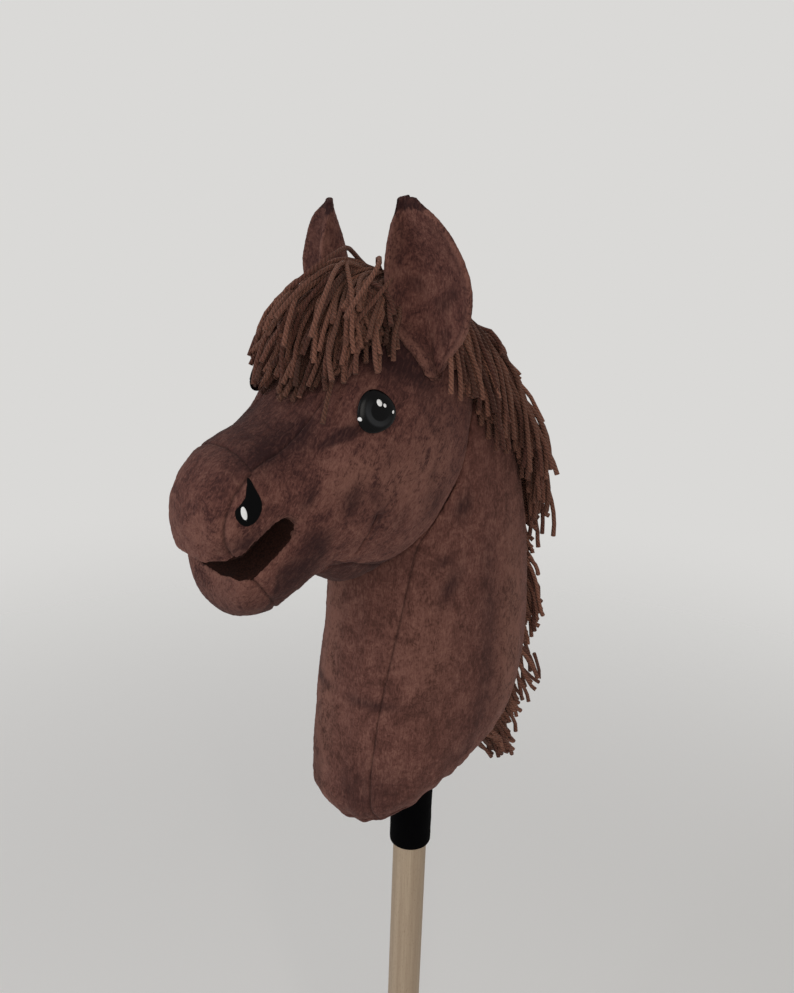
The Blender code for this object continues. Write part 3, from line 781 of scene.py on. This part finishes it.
def makeEar(word, material, skinTree):
    side = 1 if word == "left" else -1
    foot, tip = (Vector(spot) for spot in ears[word])
    up = (tip - foot).normalized()
    facing = Matrix.Rotation(side * radians(ears["turn"]), 3, "Z") @ Vector((0, -1, 0))
    outward = up.cross(facing).normalized()
    if outward.x * side < 0:
        outward.negate()
    levels, *columns = zip(*ears["rows"])
    work = bmesh.new()
    bmesh.ops.create_grid(work, x_segments=ears["grid"][0], y_segments=ears["grid"][1], size=1)
    across, height, toEdge = (work.verts.layers.float.new(name) for name in ("across", "height", "toEdge"))
    for vert in work.verts:
        over = vert.co.x
        level = levels[0] + (levels[-1] - levels[0]) * (vert.co.y + 1) / 2
        inner, middle, outer, innerRise, middleRise, outerRise = (
            smoothTable(level, levels, column) for column in columns)
        edge, edgeRise = (outer, outerRise) if over > 0 else (inner, innerRise)
        width = (edge - middle) * roundFoot(level, levels[0])
        rise = middleRise + (edgeRise - middleRise) * abs(over) ** ears["cup"]
        droop = ears["droop"] * over * over * max(0.0, (level - 0.9) / 0.1)
        gap = (1 - abs(over)) * abs(width)
        vert[across], vert[height], vert[toEdge] = over, level, gap
        spot = foot + (tip - foot) * (level - droop) + outward * (middle + width * abs(over)) + facing * rise
        if level < ears["restTop"]:
            spot = pushOut(spot, skinTree, ears["rest"])
        low = max(0.0, 1 - level / ears["pleatTop"]) ** 0.6
        relief = low * ears["lobe"] * sin(pi * min(1, abs(over) * 1.2))
        relief -= low * ears["pleatDepth"] * bell(over, ears["pleatPlace"], 0.12)
        hem = ramp(level, ears["hemTop"], -ears["hemFade"])
        relief += ears["edgeRoll"] * bell(gap, 0, 1.6) - ears["hemDepth"] * hem * bell(gap, ears["hem"], 0.9)
        relief += noise.noise(Vector((over * 1.7 + side * 9, level * 3.1, 2.2))) * ears["lump"]
        vert.co = (spot + facing * float(relief)) * mm
    mesh = leafMesh(work, facing, ears["thickness"], word + "Ear")
    spots = readSpots(mesh)
    level, gap, over = (np.empty(len(spots)) for _ in range(3))
    for name, values in (("height", level), ("toEdge", gap), ("across", over)):
        mesh.attributes[name].data.foreach_get("value", values)
    liftSpots(mesh, spots, hills(spots, skin["pileSize"]) * skin["pile"])
    hem = ramp(level, ears["hemTop"], -ears["hemFade"])
    # painted shade in the crease of the pleat at the foot
    creaseShade = bell(over, ears["pleatPlace"], 0.07) * np.clip(1 - level / ears["pleatTop"], 0, 1) ** 0.5
    cap = ramp(level + hills(spots, 2.5) * ears["capFade"], ears["cap"], ears["capFade"])
    # painted shade in the groove of the hem seam
    grooveShade = bell(gap, ears["hem"], 0.8) * (0.1 + 0.3 * hem)
    blotches = np.clip(hills(spots, 13) - 0.2, 0, 1) * 0.9
    # painted highlight along the rolled edge, and a lighter band of cloth inside the hem
    lightNapAndLight = 0.3 * bell(gap, 0, 2.2) + 0.15 * hem * (gap < ears["hem"])
    writeValues(mesh, "darkNapAndShade", np.clip(cap * 0.95 + creaseShade * 0.85 + grooveShade + blotches, 0, skin["shadeMost"]))
    writeValues(mesh, "lightNapAndLight", np.clip(lightNapAndLight * (1 - cap), 0, 1))
    writeValues(mesh, "seam", 0 * level)
    nodes = [word + "_ear_lining", word + "_ear_back"]
    item = finishPiece(word + "Ear", mesh, material, horse, nodes)


# eyes: flat-backed domes of black acrylic, their painted iris and glints under the gloss

eyes = {
    "centre": (54.1, -90.9, 807.6),
    "facing": (0.955, -0.20, 0.22),
    "radius": 12.2,
    "corner": 0.05,  # how far its three corners stand out, and the turn of the first in degrees
    "cornerTurn": 18,
    "dome": 3.2,
    "sink": 0.8,
    "black": "#020203",
    "grey": "#2c2d2f",
    "irisAt": (-51.6, -50.6, 0),  # moves the face's uv, in mm, to the middle of the iris
    "iris": ((5.6, 6.4), (9.8, 8.2)),  # mm from its middle over which it begins and ends
    "irisSide": (3, -9),  # it shows on one side only
    "glints": (  # place on the eye in mm, half sizes, turn in degrees
        (1.4, 4.9, 1.55, 2.1, 20),
        (4.6, 2.9, 0.9, 1.2, 25),
        (-11.0, -2.4, 0.95, 1.3, 20),
        (9.9, -1.6, 1.0, 1.2, -30),
    ),
    "glintHeight": 0.25,
    "roughness": 0.25,
    "specular": 0.12,
}


def eyeFrame(word):
    side = 1 if word == "left" else -1
    centre, facing = Vector(eyes["centre"]), Vector(eyes["facing"]).normalized()
    rear = Vector((0, 1, 0))
    rear = (rear - facing * rear.dot(facing)).normalized()
    up = facing.cross(rear)
    if up.z < 0:
        up.negate()
    for axis in (centre, facing, rear, up):
        axis.x *= side
    return centre, facing, rear, up


def eyeRise(a, b):  # height of the dome above the eye's back, in mm
    away = (a * a + b * b) / eyes["radius"] ** 2
    return eyes["dome"] * max(0.0, 1 - away) ** 0.5


def makeEye(word, material, glintMaterial):
    centre, facing, rear, up = eyeFrame(word)
    work = bmesh.new()
    bmesh.ops.create_uvsphere(work, u_segments=64, v_segments=32, radius=1)
    layer = work.loops.layers.uv.new("face")
    local = {}
    for vert in work.verts:
        turn = atan2(vert.co.y, vert.co.x) + radians(eyes["cornerTurn"])
        swell = eyes["radius"] * (1 + eyes["corner"] * cos(3 * turn))
        local[vert] = (vert.co.x * swell, vert.co.y * swell)
        rise = vert.co.z * (eyes["dome"] if vert.co.z > 0 else eyes["sink"])
        vert.co = (centre + rear * local[vert][0] + up * local[vert][1] + facing * rise) * mm
    for face in work.faces:
        for loop in face.loops:
            loop[layer].uv = (local[loop.vert][0] / 100 + 0.5, local[loop.vert][1] / 100 + 0.5)
    finishPiece(word + "Eye", sealed(work, word + "Eye"), material, horse, [word + "_eye"])
    work = bmesh.new()
    for a, b, halfWidth, halfHeight, turn in eyes["glints"]:
        made = bmesh.ops.create_uvsphere(work, u_segments=20, v_segments=10, radius=1)
        c, s = cos(radians(turn)), sin(radians(turn))
        for vert in made["verts"]:
            x, y = vert.co.x * halfWidth, vert.co.y * halfHeight
            u, v = a + x * c - y * s, b + x * s + y * c
            rise = eyeRise(u, v) + vert.co.z * eyes["glintHeight"]
            vert.co = (centre + rear * u + up * v + facing * rise) * mm
    name = word + "EyeGlints"
    finishPiece(name, sealed(work, name), glintMaterial, horse, [])


def eyeMaterial():  # cast acrylic cabochon: deep black, clear gloss, a dim grey iris below it
    made, tree, shader = newMaterial("cast black acrylic")
    uv = addNode(tree, "ShaderNodeUVMap", {"uv_map": "face"}).outputs[0]
    feeds = {"Vector": uv, "Location": eyes["irisAt"], "Scale": (100, 100, 0)}
    spot = addNode(tree, "ShaderNodeMapping", {"vector_type": "POINT"}, feeds).outputs[0]
    away = lengthOf(tree, spot)
    ring, outer = (between(tree, away, *ends, kind="SMOOTHSTEP") for ends in eyes["iris"])
    split = addNode(tree, "ShaderNodeSeparateXYZ", {}, {0: spot}).outputs
    side = between(tree, calc(tree, "ADD", split[0], split[1]), *eyes["irisSide"])
    share = calc(tree, "MULTIPLY", calc(tree, "MULTIPLY", ring, outer), side)
    colour = mixColour(tree, share, eyes["black"], eyes["grey"])
    dress(tree, shader, colour, eyes["roughness"], eyes["specular"])
    return made


def enamelMaterial():
    made, tree, shader = newMaterial("white acrylic paint dots")  # slightly domed, satin
    colour = mixColour(tree, cloud(tree, (1 / 0.9,) * 3), "#f1f3f4", "#ffffff")
    dress(tree, shader, colour, roughness=0.4)
    return made


# nostrils: commas of black vinyl film with a white oval on each

nostrils = {
    "rows": (  # height, then the place along the nose of the middle and the half width, mm
        (775.4, -158.2, 0.2), (773.0, -158.8, 1.2), (770.2, -159.1, 2.1), (766.0, -159.2, 3.7),
        (762.4, -160.5, 5.8), (759.0, -162.2, 7.1), (755.2, -163.1, 6.4), (752.0, -163.4, 4.2),
        (750.1, -164.0, 0.4),
    ),
    "grid": (16, 44),
    "proud": 0.5,
    "film": 0.6,
    "oval": (-165.0, 757.7),
    "ovalSize": (1.6, 4.1, 0.35),
    "ovalLean": -11,
}


def makeNostril(word, material, glintMaterial, tree):
    side = 1 if word == "left" else -1

    def onHead(y, z):  # the place on the side of the muzzle, and which way is out there
        spot, normal, _, _ = tree.ray_cast(Vector((side * 90, y, z)) * mm, Vector((-side, 0, 0)))
        return spot + normal * nostrils["proud"] * mm, normal

    heights, middles, halves = zip(*sorted(nostrils["rows"]))
    work = bmesh.new()
    bmesh.ops.create_grid(work, x_segments=nostrils["grid"][0], y_segments=nostrils["grid"][1], size=1)
    for vert in work.verts:
        z = heights[0] + (heights[-1] - heights[0]) * (vert.co.y + 1) / 2
        y = float(np.interp(z, heights, middles)) + vert.co.x * float(np.interp(z, heights, halves))
        vert.co, _ = onHead(y, z)
    relax(work, 2, 0.4)
    mesh = leafMesh(work, Vector((side, 0, 0)), nostrils["film"], word + "Nostril")
    finishPiece(word + "Nostril", mesh, material, horse, [word + "_nostril"])
    spot, normal = onHead(*nostrils["oval"])
    lean = radians(nostrils["ovalLean"])
    up = Vector((0, sin(lean), cos(lean)))
    up = (up - normal * up.dot(normal)).normalized()
    rear = up.cross(normal)
    half, tall, thick = nostrils["ovalSize"]  # mm
    work = bmesh.new()
    bmesh.ops.create_uvsphere(work, u_segments=24, v_segments=12, radius=1)
    for vert in work.verts:
        x, y, z = vert.co
        vert.co = spot + (rear * (x * half) + up * (y * tall) + normal * z * thick) * mm
    name = word + "NostrilGlint"
    finishPiece(name, sealed(work, name), glintMaterial, horse, [])


def filmMaterial():
    made, tree, shader = newMaterial("pressed black vinyl film")  # satin, heat pressed on the pile
    fine = cloud(tree, (1 / 1.4,) * 3, 3.0)
    dress(tree, shader, mixColour(tree, fine, "#040405", "#0b0b0c"), 0.8, 0.06, (fine, 0.3, 0.1))
    return made


# yarn: strands laid over the CAD's tufts, from the crest seam out, each a bevelled path

mane = {
    "crest": ((8, 844), (26, 834), (41, 814), (54, 784), (64, 750), (71, 708), (77, 664), (81, 618),
              (82, 580), (79, 545), (72, 514)),  # y and z of the crest seam, mm
    "depth": 10,
    "breaks": (0, 0.17, 0.32, 0.55, 0.77, 0.93, 1),  # where one bundle ends and the next starts
    "strands": (120, 150, 170, 170, 150, 110),
    "shift": (14, 12, 6, 4, 2, 0),
    "reach": (0.74, 0.81, 0.89, 0.96, 1.04, 0.90),
    "swell": (0.45, 1.0, 1.0, 1.0, 1.0, 1.0),
    "drop": (0, 0, 0, 0, 0, 22),  # mm, the last bundle hangs free of the neck
    "outermost": 1.03,
    "layers": 0.55,
    "crowding": 1.5,  # more strands lie outside than inside
    "hang": (0.05, 0.15),
    "spread": 88,
    "rootStray": (-4, 4),
    "rootDepth": 1.2,
    "bow": (0.35, 0.6),  # shares of a strand's length that it goes out and up at its root
    "bowUp": (0.05, 0.25),
    "flickUp": (0.05, 0.4),  # and up and in at its end
    "flickIn": (0.0, 0.35),
    "curl": 5.0,
    "crimp": 0.4,
    "depthShade": 1.1,
    "loops": 0.06,
    "seed": 11,
}
draped = {  # strands laid over the side of the head behind the left ear
    "rows": (  # bundle, strands, where they start at the front and at the back
        (0, 110, (6, -24, 858), (14, 12, 842)), (1, 70, (10, 10, 840), (18, 36, 818)),
        (2, 60, (10, 42, 810), (14, 63, 762)),
    ),
    "way": (74, 112),  # front and back of a row, degrees round from straight ahead
    "rise": (-20, -5),
    "backFall": 25,
    "bend": (55, 80),
    "length": (60, 86),
    "room": 4,
    "mess": 0.5,
    "depthShade": 0.13,
}
forelock = {
    "knot": (3, -42, 868),
    "strands": 270,
    "fan": (  # way round from straight ahead in degrees, length in mm, rise at the knot, bend on the way
        (-52, 112, 12, 112), (-38, 112, 18, 110), (-24, 110, 24, 108), (-8, 114, 32, 108), (8, 116, 34, 110),
        (20, 104, 30, 112), (30, 80, 26, 116), (42, 82, 20, 118), (52, 84, 12, 116),
    ),
    "middle": 4,  # degrees, between the far half of the fan and the near half
    "crowded": 0.62,  # of the strands, this share falls on the far half
    "layering": 0.8,
    "short": 0.4,  # share of the strands that may be short
    "shortLength": (0.62, 1.04),
    "fullLength": (0.88, 1.04),
    "fall": (0.45, 1.1),
    "slant": 0.88,  # y + slant * x tells how near to the ear and the eye a place is
    "earFront": -27,
    "eyeFront": -77,  # an end past this hangs no lower than eyeTop
    "eyeTop": 823,
    "front": 135,  # mm forward of the stick's axis, as far as strands may hang
    "farTop": (-5, 858, 0.25),  # beyond this x, ends stay below this height, which falls towards the nose
    "pile": 14,
    "mess": 1.05,
    "depthShade": 0.75,
    "loops": 0.10,
    "seed": 5,
    "diameter": 2.9,
}


lay = {  # how any strand wanders
    "swirl": 24,  # degrees that a messy one may turn aside
    "wave": (4, 34),
    "pitchWave": 0.6,
    "steepest": -95,
    "clear": 2,  # mm off the skin
    "loopFrom": 0.72,  # share of an uncut one's length where it turns back
    "loopWidth": 5,
    "loopClosing": 0.15,
}


def along(points, share):  # a point and a direction at a share of a line's length
    spans = [(b - a).length for a, b in zip(points, points[1:])]
    left = min(max(share, 0), 1) * sum(spans)
    for a, b, span in zip(points, points[1:], spans):
        if left <= span:
            return a.lerp(b, left / span), (b - a).normalized()
        left -= span
    return points[-1], (points[-1] - points[-2]).normalized()


def bezier(a, b, c, d, t):
    s = 1 - t
    return a * s ** 3 + b * 3 * s * s * t + c * 3 * s * t * t + d * t ** 3


def strandTwist(mesh, caps, strand, ring, paths):  # uv: share of the way round, and turns of the twist
    sides = yarn["sides"]
    lengths = np.array([[0] + [(b - a).length for a, b in zip(path, path[1:])] for path, _, _ in paths])
    reach = np.cumsum(lengths, axis=1) / yarn["plyPitch"]
    corner = np.empty(len(mesh.loops), int)
    mesh.loops.foreach_get("vertex_index", corner)
    side = np.where(corner >= caps, (corner - caps) % sides, 0).astype(float)
    starts, counts = (np.empty(len(mesh.polygons), int) for _ in range(2))
    mesh.polygons.foreach_get("loop_start", starts)
    mesh.polygons.foreach_get("loop_total", counts)
    for start in starts[counts == 4]:
        part = side[start:start + 4]
        if part.max() - part.min() > sides / 2:
            part[part == 0] = sides
    uv = np.stack((side / sides, reach[strand[corner], ring[corner]]), axis=1)
    while mesh.uv_layers:
        mesh.uv_layers.remove(mesh.uv_layers[0])
    mesh.uv_layers.new(name="twist").data.foreach_set("uv", uv.astype(np.float32).ravel())


def yarnPiece(name, paths, diameter, material, nodes):  # each path comes with its tone and its painted shade
    curve = bpy.data.curves.new(name, "CURVE")
    curve.dimensions = "3D"
    curve.bevel_depth = diameter / 2 * mm
    curve.bevel_resolution = 1
    curve.use_fill_caps = True
    count, sides = yarn["points"], yarn["sides"]
    for path, _, _ in paths:
        spline = curve.splines.new("POLY")
        spline.points.add(count - 1)
        for point, spot in zip(spline.points, path):
            point.co = (*(spot * mm), 1)
        spline.points[-1].radius = yarn["cutEnd"]
    holder = addObject(name, curve)
    graph = bpy.context.evaluated_depsgraph_get()
    mesh = bpy.data.meshes.new_from_object(holder.evaluated_get(graph))
    bpy.data.objects.remove(holder)
    caps = 2 * sides * len(paths)  # the caps' vertices come first, then each strand's rings
    total = len(mesh.vertices)
    order = np.arange(total - caps)
    strand, ring = np.zeros(total, int), np.zeros(total, int)
    strand[:caps] = np.tile(np.repeat(np.arange(len(paths)), sides), 2)
    strand[caps:] = order // (count * sides)
    ring[caps:] = order % (count * sides) // sides
    tones = np.array([(tone, strandShade) for _, tone, strandShade in paths])
    # painted shade at each strand's root, where it goes into the skin
    rootShade = np.clip(1 - ring / 3.0, 0, 1) * 0.5 * (np.arange(total) >= caps)
    writeValues(mesh, "tone", tones[strand, 0])
    writeValues(mesh, "strandShade", np.clip(tones[strand, 1] + rootShade, 0, 0.9))
    strandTwist(mesh, caps, strand, ring, paths)
    finishPiece(name, mesh, material, horse, nodes)


def wobble(rng, size):
    return Vector((rng.uniform(-1, 1), rng.uniform(-1, 1), rng.uniform(-1, 1))) * size


def looped(path, rng):  # an uncut strand: its last stretch turns back beside itself
    count = len(path)
    turn = int(count * lay["loopFrom"])
    side = wobble(rng, 1.0).normalized() * lay["loopWidth"]
    made = [path[round(i * (count - 1) / turn)].copy() for i in range(turn + 1)]
    for i in range(turn + 1, count):
        share = (i - turn) / (count - 1 - turn)
        away = side * sin(pi * 0.5 * (0.35 + 0.65 * share))
        made.append(made[turn - (i - turn)].lerp(made[turn], lay["loopClosing"]) + away)
    return made


def drapedPath(rng, start, way, rise, bend, length, room, mess, tree):
    # a strand leaves its start at a rise, bends down on its way and lies on the skin where it meets it
    count = yarn["points"]
    swirl = rng.gauss(0, lay["swirl"] * mess)
    wave = rng.uniform(lay["wave"][0], lay["wave"][1] * mess)
    phase = rng.uniform(0, 2 * pi)
    path = [start]
    for i in range(1, count):
        t = i / (count - 1)
        turn = radians(way + swirl * t + wave * sin(phase + 6 * t))
        pitch = radians(max(lay["steepest"], rise - bend * t + wave * lay["pitchWave"] * cos(phase + 5 * t)))
        step = Vector((sin(turn) * cos(pitch), -cos(turn) * cos(pitch), sin(pitch)))
        clear = lay["clear"] + room * min(1, 3 * t)
        path.append(pushOut(path[-1] + step * length / (count - 1), tree, clear))
    return path


def crestPath(rng, tuft, line, volume, skinTree):  # from the crest seam out over the bundle
    first, last = mane["breaks"][tuft:tuft + 2]
    count = yarn["points"]
    share = first + (last - first) * rng.random()
    onCrest, run = along(line, share)
    outward = Vector((0, -run.z, run.y))
    angle = radians(mane["spread"]) * (1 - 2 * rng.random())
    layer = mane["outermost"] - mane["layers"] * rng.random() ** mane["crowding"]
    under, underRun = along(line, min(share + rng.uniform(*mane["hang"]), last + 0.02, 0.99))
    underOut = Vector((0, -underRun.z, underRun.y))
    axis = under - underOut * mane["depth"] + Vector((mane["shift"][tuft], 0, 0))
    way = (underOut * cos(angle) + Vector((sin(angle), 0, 0))).normalized()
    hit, _, _, _ = volume.ray_cast((axis + way * 150) * mm, -way)
    if hit is None:
        hit = (axis + way * mane["depth"] * 1.6) * mm
    reach = (hit / mm - axis).length * mane["reach"][tuft]
    end = axis + way * reach * layer + wobble(rng, 4)
    if mane["drop"][tuft]:
        end.z -= mane["drop"][tuft] * rng.random()
    start = onCrest + Vector((rng.uniform(*mane["rootStray"]), 0, 0)) + run * rng.uniform(*mane["rootStray"])
    hit, _, _, _ = skinTree.ray_cast((start + outward * 60) * mm, -outward)
    if hit is not None:
        start = hit / mm - outward * mane["rootDepth"]
    length = (end - start).length
    lift = way * length * rng.uniform(*mane["bow"]) + Vector((0, 0, length * rng.uniform(*mane["bowUp"])))
    lift *= mane["swell"][tuft]
    flick = Vector((0, 0, length * rng.uniform(*mane["flickUp"])))
    flick -= way * length * rng.uniform(*mane["flickIn"])
    curl = wobble(rng, mane["curl"])
    path = []
    for i in range(count):
        t = i / (count - 1)
        spot = bezier(start, start + lift, end + flick, end, t)
        path.append(spot + (curl * sin(pi * t) * t + wobble(rng, mane["crimp"])))
    if rng.random() < mane["loops"]:
        path = looped(path, rng)
    path = path[:1] + [pushOut(spot, skinTree, yarn["diameter"] * 0.5 + 0.4) for spot in path[1:]]
    return path, rng.random(), (mane["outermost"] - layer) * mane["depthShade"]


def overHead(rng, front, back, skinTree):
    share = rng.random()
    start = Vector(front).lerp(Vector(back), share) + wobble(rng, 3)
    room = rng.uniform(0, draped["room"])
    way = draped["way"][0] * (1 - share) + draped["way"][1] * share
    rise = rng.uniform(*draped["rise"]) - draped["backFall"] * share
    bend, length = rng.uniform(*draped["bend"]), rng.uniform(*draped["length"])
    path = drapedPath(rng, start, way, rise, bend, length, room, draped["mess"], skinTree)
    return path, rng.random(), (draped["room"] - room) * draped["depthShade"]


def makeMane(material, skinTree):
    names = ["mane_tuft_%d" % (i + 1) for i in range(len(mane["strands"]))]
    volume = treeOf(gathered(cadMeshes(names)))
    line = [Vector((0, y, z)) for y, z in mane["crest"]]
    for tuft, name in enumerate(names):
        rng = random.Random(mane["seed"] + tuft)
        paths = [crestPath(rng, tuft, line, volume, skinTree) for _ in range(mane["strands"][tuft])]
        for where, many, front, back in draped["rows"]:
            if where == tuft:
                paths += [overHead(rng, front, back, skinTree) for _ in range(many)]
        yarnPiece("maneYarn%d" % (tuft + 1), paths, yarn["diameter"], material, [name])


def forelockFits(path):  # false where it would lie over the ear, hang by the eye or stick out
    slant, end = forelock["slant"], path[-1]
    overEar = max(p.y + slant * p.x for p in path[2:]) > forelock["earFront"]
    byEye = end.y + slant * end.x > forelock["eyeFront"] and end.z < forelock["eyeTop"]
    farSide, top, rise = forelock["farTop"]
    past = end.y + 0.6 * min(0, end.x) < -forelock["front"]
    return not (overEar or byEye or past or end.x < farSide and end.z > top + rise * end.y)


def makeForelock(material, skinTree):
    rng = random.Random(forelock["seed"])
    ways, *columns = zip(*forelock["fan"])
    middle = forelock["middle"]
    paths = []
    while len(paths) < forelock["strands"]:
        far = rng.random() < forelock["crowded"]
        way = rng.uniform(ways[0], middle) if far else rng.uniform(middle, ways[-1])
        layer = rng.random() ** forelock["layering"]
        length, rise, bend = (float(np.interp(way, ways, column)) for column in columns)
        length *= rng.uniform(*forelock["shortLength" if rng.random() < forelock["short"] else "fullLength"])
        start = Vector(forelock["knot"]) + wobble(rng, 5)
        fall = rng.uniform(*forelock["fall"])
        rise, bend, length = rise * (1.4 * layer - 0.3), bend * fall, length * (0.68 + 0.3 * fall)
        path = drapedPath(rng, start, way, rise, bend, length, forelock["pile"] * layer, forelock["mess"],
                          skinTree)
        if not forelockFits(path):
            continue
        if rng.random() < forelock["loops"]:
            path = looped(path, rng)
        paths.append((path, rng.random(), (1 - layer) * forelock["depthShade"]))
    yarnPiece("forelockYarn", paths, forelock["diameter"], material, ["forelock"])


# stick: turned beech dowel. Cuff and pocket: black felt

stickLook = {
    "sides": 96,
    "chamferSteps": 6,
    "chamfer": 1.5,
    "pale": "#a8937c",
    "warm": "#b7a38b",
    "fibres": (0.35, "#8f7a64"),  # strength and colour
    "flecks": (0.4, "#7d6650"),
    "bump": (0.25, 0.15),
    "roughness": 0.6,
}
cuffLook = {
    "wall": 1.3,
    "rounding": 1.1,
    "fuzz": 0.25,
    "fuzzSizes": (9, 1.5),
    "colours": ("#010102", "#060607"),
    "sides": 96,
    "sleeveSides": 64,
    "sleeveRoom": 0.3,
    "sleeveEnd": 1.0,
}


def spun(profile, sides, name):  # a closed turned shape from (radius, height) pairs in metres
    work = bmesh.new()
    verts = [work.verts.new((r, 0, z)) for r, z in profile]
    edges = [work.edges.new(pair) for pair in zip(verts, verts[1:])]
    bmesh.ops.spin(work, geom=verts + edges, axis=(0, 0, 1), cent=(0, 0, 0), steps=sides, angle=2 * pi,
                   use_merge=True)
    return sealed(work, name)


def straight(radius, low, high, count):
    return [(radius, z) for z in np.linspace(low, high, count)]


def roundedEnd(radius, z, size, way, steps):  # quarter arc from the side to the end face
    turns = [pi / 2 * i / steps for i in range(steps + 1)]
    return [(radius - size + size * cos(turn), z - way * size + way * size * sin(turn)) for turn in turns]


def makeStick():
    low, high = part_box("stick")
    radius = high[0]
    size = stickLook["chamfer"] * mm
    steps = stickLook["chamferSteps"]
    profile = [(0, low[2])] + roundedEnd(radius, low[2], size, -1, steps)[::-1]
    profile += straight(radius, low[2] + 2 * size, high[2] - 2 * size, 24)
    profile += roundedEnd(radius, high[2], size, 1, steps) + [(0, high[2])]
    mesh = spun(profile, stickLook["sides"], "stickDowel")
    made, tree, shader = newMaterial("turned beech dowel, bare")  # short flecks and faint long grain
    bands = between(tree, cloud(tree, (5, 5, 240), 2.0, 0.4), 0.35, 0.65)
    fibres = between(tree, cloud(tree, (0.6, 0.6, 28), 3.0), 0.35, 0.7)
    flecks = between(tree, cloud(tree, (0.45, 0.45, 2.6), 1.0), 0.62, 0.72)
    colour = mixColour(tree, bands, stickLook["pale"], stickLook["warm"])
    for marks, (strength, dark) in ((fibres, stickLook["fibres"]), (flecks, stickLook["flecks"])):
        colour = mixColour(tree, calc(tree, "MULTIPLY", marks, strength), colour, dark)
    dress(tree, shader, colour, stickLook["roughness"], bump=(fibres, *stickLook["bump"]))
    finishPiece("stickDowel", mesh, made, stick, ["stick"])


def feltMaterial():
    made, tree, shader = newMaterial("black wool felt")  # matt, with loose fibres lying on it
    fuzz = cloud(tree, (1 / 1.1,) * 3, 4.0, 1.0, 0.7)
    colour = mixColour(tree, between(tree, fuzz, 0.4, 0.7), *cuffLook["colours"])
    dress(tree, shader, colour, 0.95, 0.04, (fuzz, 0.8, 0.3))
    return made


def makeCuff(material):
    low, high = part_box("stick_cuff")
    outer = high[0]
    inner = outer - cuffLook["wall"] * mm
    size = min(cuffLook["rounding"], cuffLook["wall"] * 0.8) * mm
    profile = roundedEnd(outer, low[2], size, -1, 5)[::-1]
    profile += straight(outer, low[2] + 2 * size, high[2], 60) + straight(inner, high[2], low[2], 20)
    mesh = spun(profile + profile[:1], cuffLook["sides"], "cuffCloth")
    spots = readSpots(mesh)
    coarse, fine = cuffLook["fuzzSizes"]
    soft = (hills(spots, coarse) + 0.5 * hills(spots, fine)) * cuffLook["fuzz"]
    outside = np.hypot(spots[:, 0], spots[:, 1]) > outer / mm - 0.3
    liftSpots(mesh, spots, soft * outside)
    finishPiece("cuffCloth", mesh, material, horse, ["stick_cuff"])


def makePocket(material):
    low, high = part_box("stick_pocket")
    outer = high[0]
    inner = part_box("stick")[1][0] + cuffLook["sleeveRoom"] * mm
    end = high[2] - cuffLook["sleeveEnd"] * mm
    inside = straight(inner, low[2], end, 24) + [(0, end)]
    outside = [(0, high[2])] + straight(outer, high[2], low[2], 24) + [(inner, low[2])]
    work = gathered([spun(profile, cuffLook["sleeveSides"], "sleeve") for profile in (inside, outside)])
    finishPiece("pocketSleeve", sealed(work, "pocketSleeve"), material, horse, ["stick_pocket"])


lining = {"voxel": 0.7, "passes": 3, "colours": ("#1d0f0c", "#331c16")}


def makeLining():
    made, tree, shader = newMaterial("dark brown fleece lining")  # short pile, deep shade in the mouth
    fuzz = cloud(tree, (1 / 0.9,) * 3, 3.0)
    colour = mixColour(tree, between(tree, fuzz, 0.35, 0.65), *lining["colours"])
    dress(tree, shader, colour, 0.95, 0.1, (fuzz, 0.6, 0.3))
    mesh = toMesh(gatherSkin(["mouth_lining"], lining["voxel"], lining["passes"]), "mouthLining")
    setLip(mesh)
    finishPiece("mouthLining", mesh, made, horse, ["mouth_lining"])


def main():
    makeCamera()
    makeStudio()
    print("camera and studio")
    head = makeHead(plushMaterial("brushed velboa, head"))
    print("head", len(head.data.polygons), "faces")
    neck = makeNeck(plushMaterial("brushed velboa, neck", {"napLean": 4, "dark": "#4a2d26"}))
    print("neck", len(neck.data.polygons), "faces")
    makeLining()
    skinTree = treeOf(gathered([head.data, neck.data]))
    earMaterial = plushMaterial("brushed velboa, ears", {"napLean": 8})
    for word in ("left", "right"):
        makeEar(word, earMaterial, skinTree)
    print("ears")
    acrylic, enamel, film = eyeMaterial(), enamelMaterial(), filmMaterial()
    for word in ("left", "right"):
        makeEye(word, acrylic, enamel)
        makeNostril(word, film, enamel, skinTree)
    print("eyes and nostrils")
    strands = yarnMaterial()
    makeMane(strands, skinTree)
    makeForelock(strands, skinTree)
    print("yarn")
    makeStick()
    felt = feltMaterial()
    makeCuff(felt)
    makePocket(felt)
    print("stick, cuff and pocket")


main()
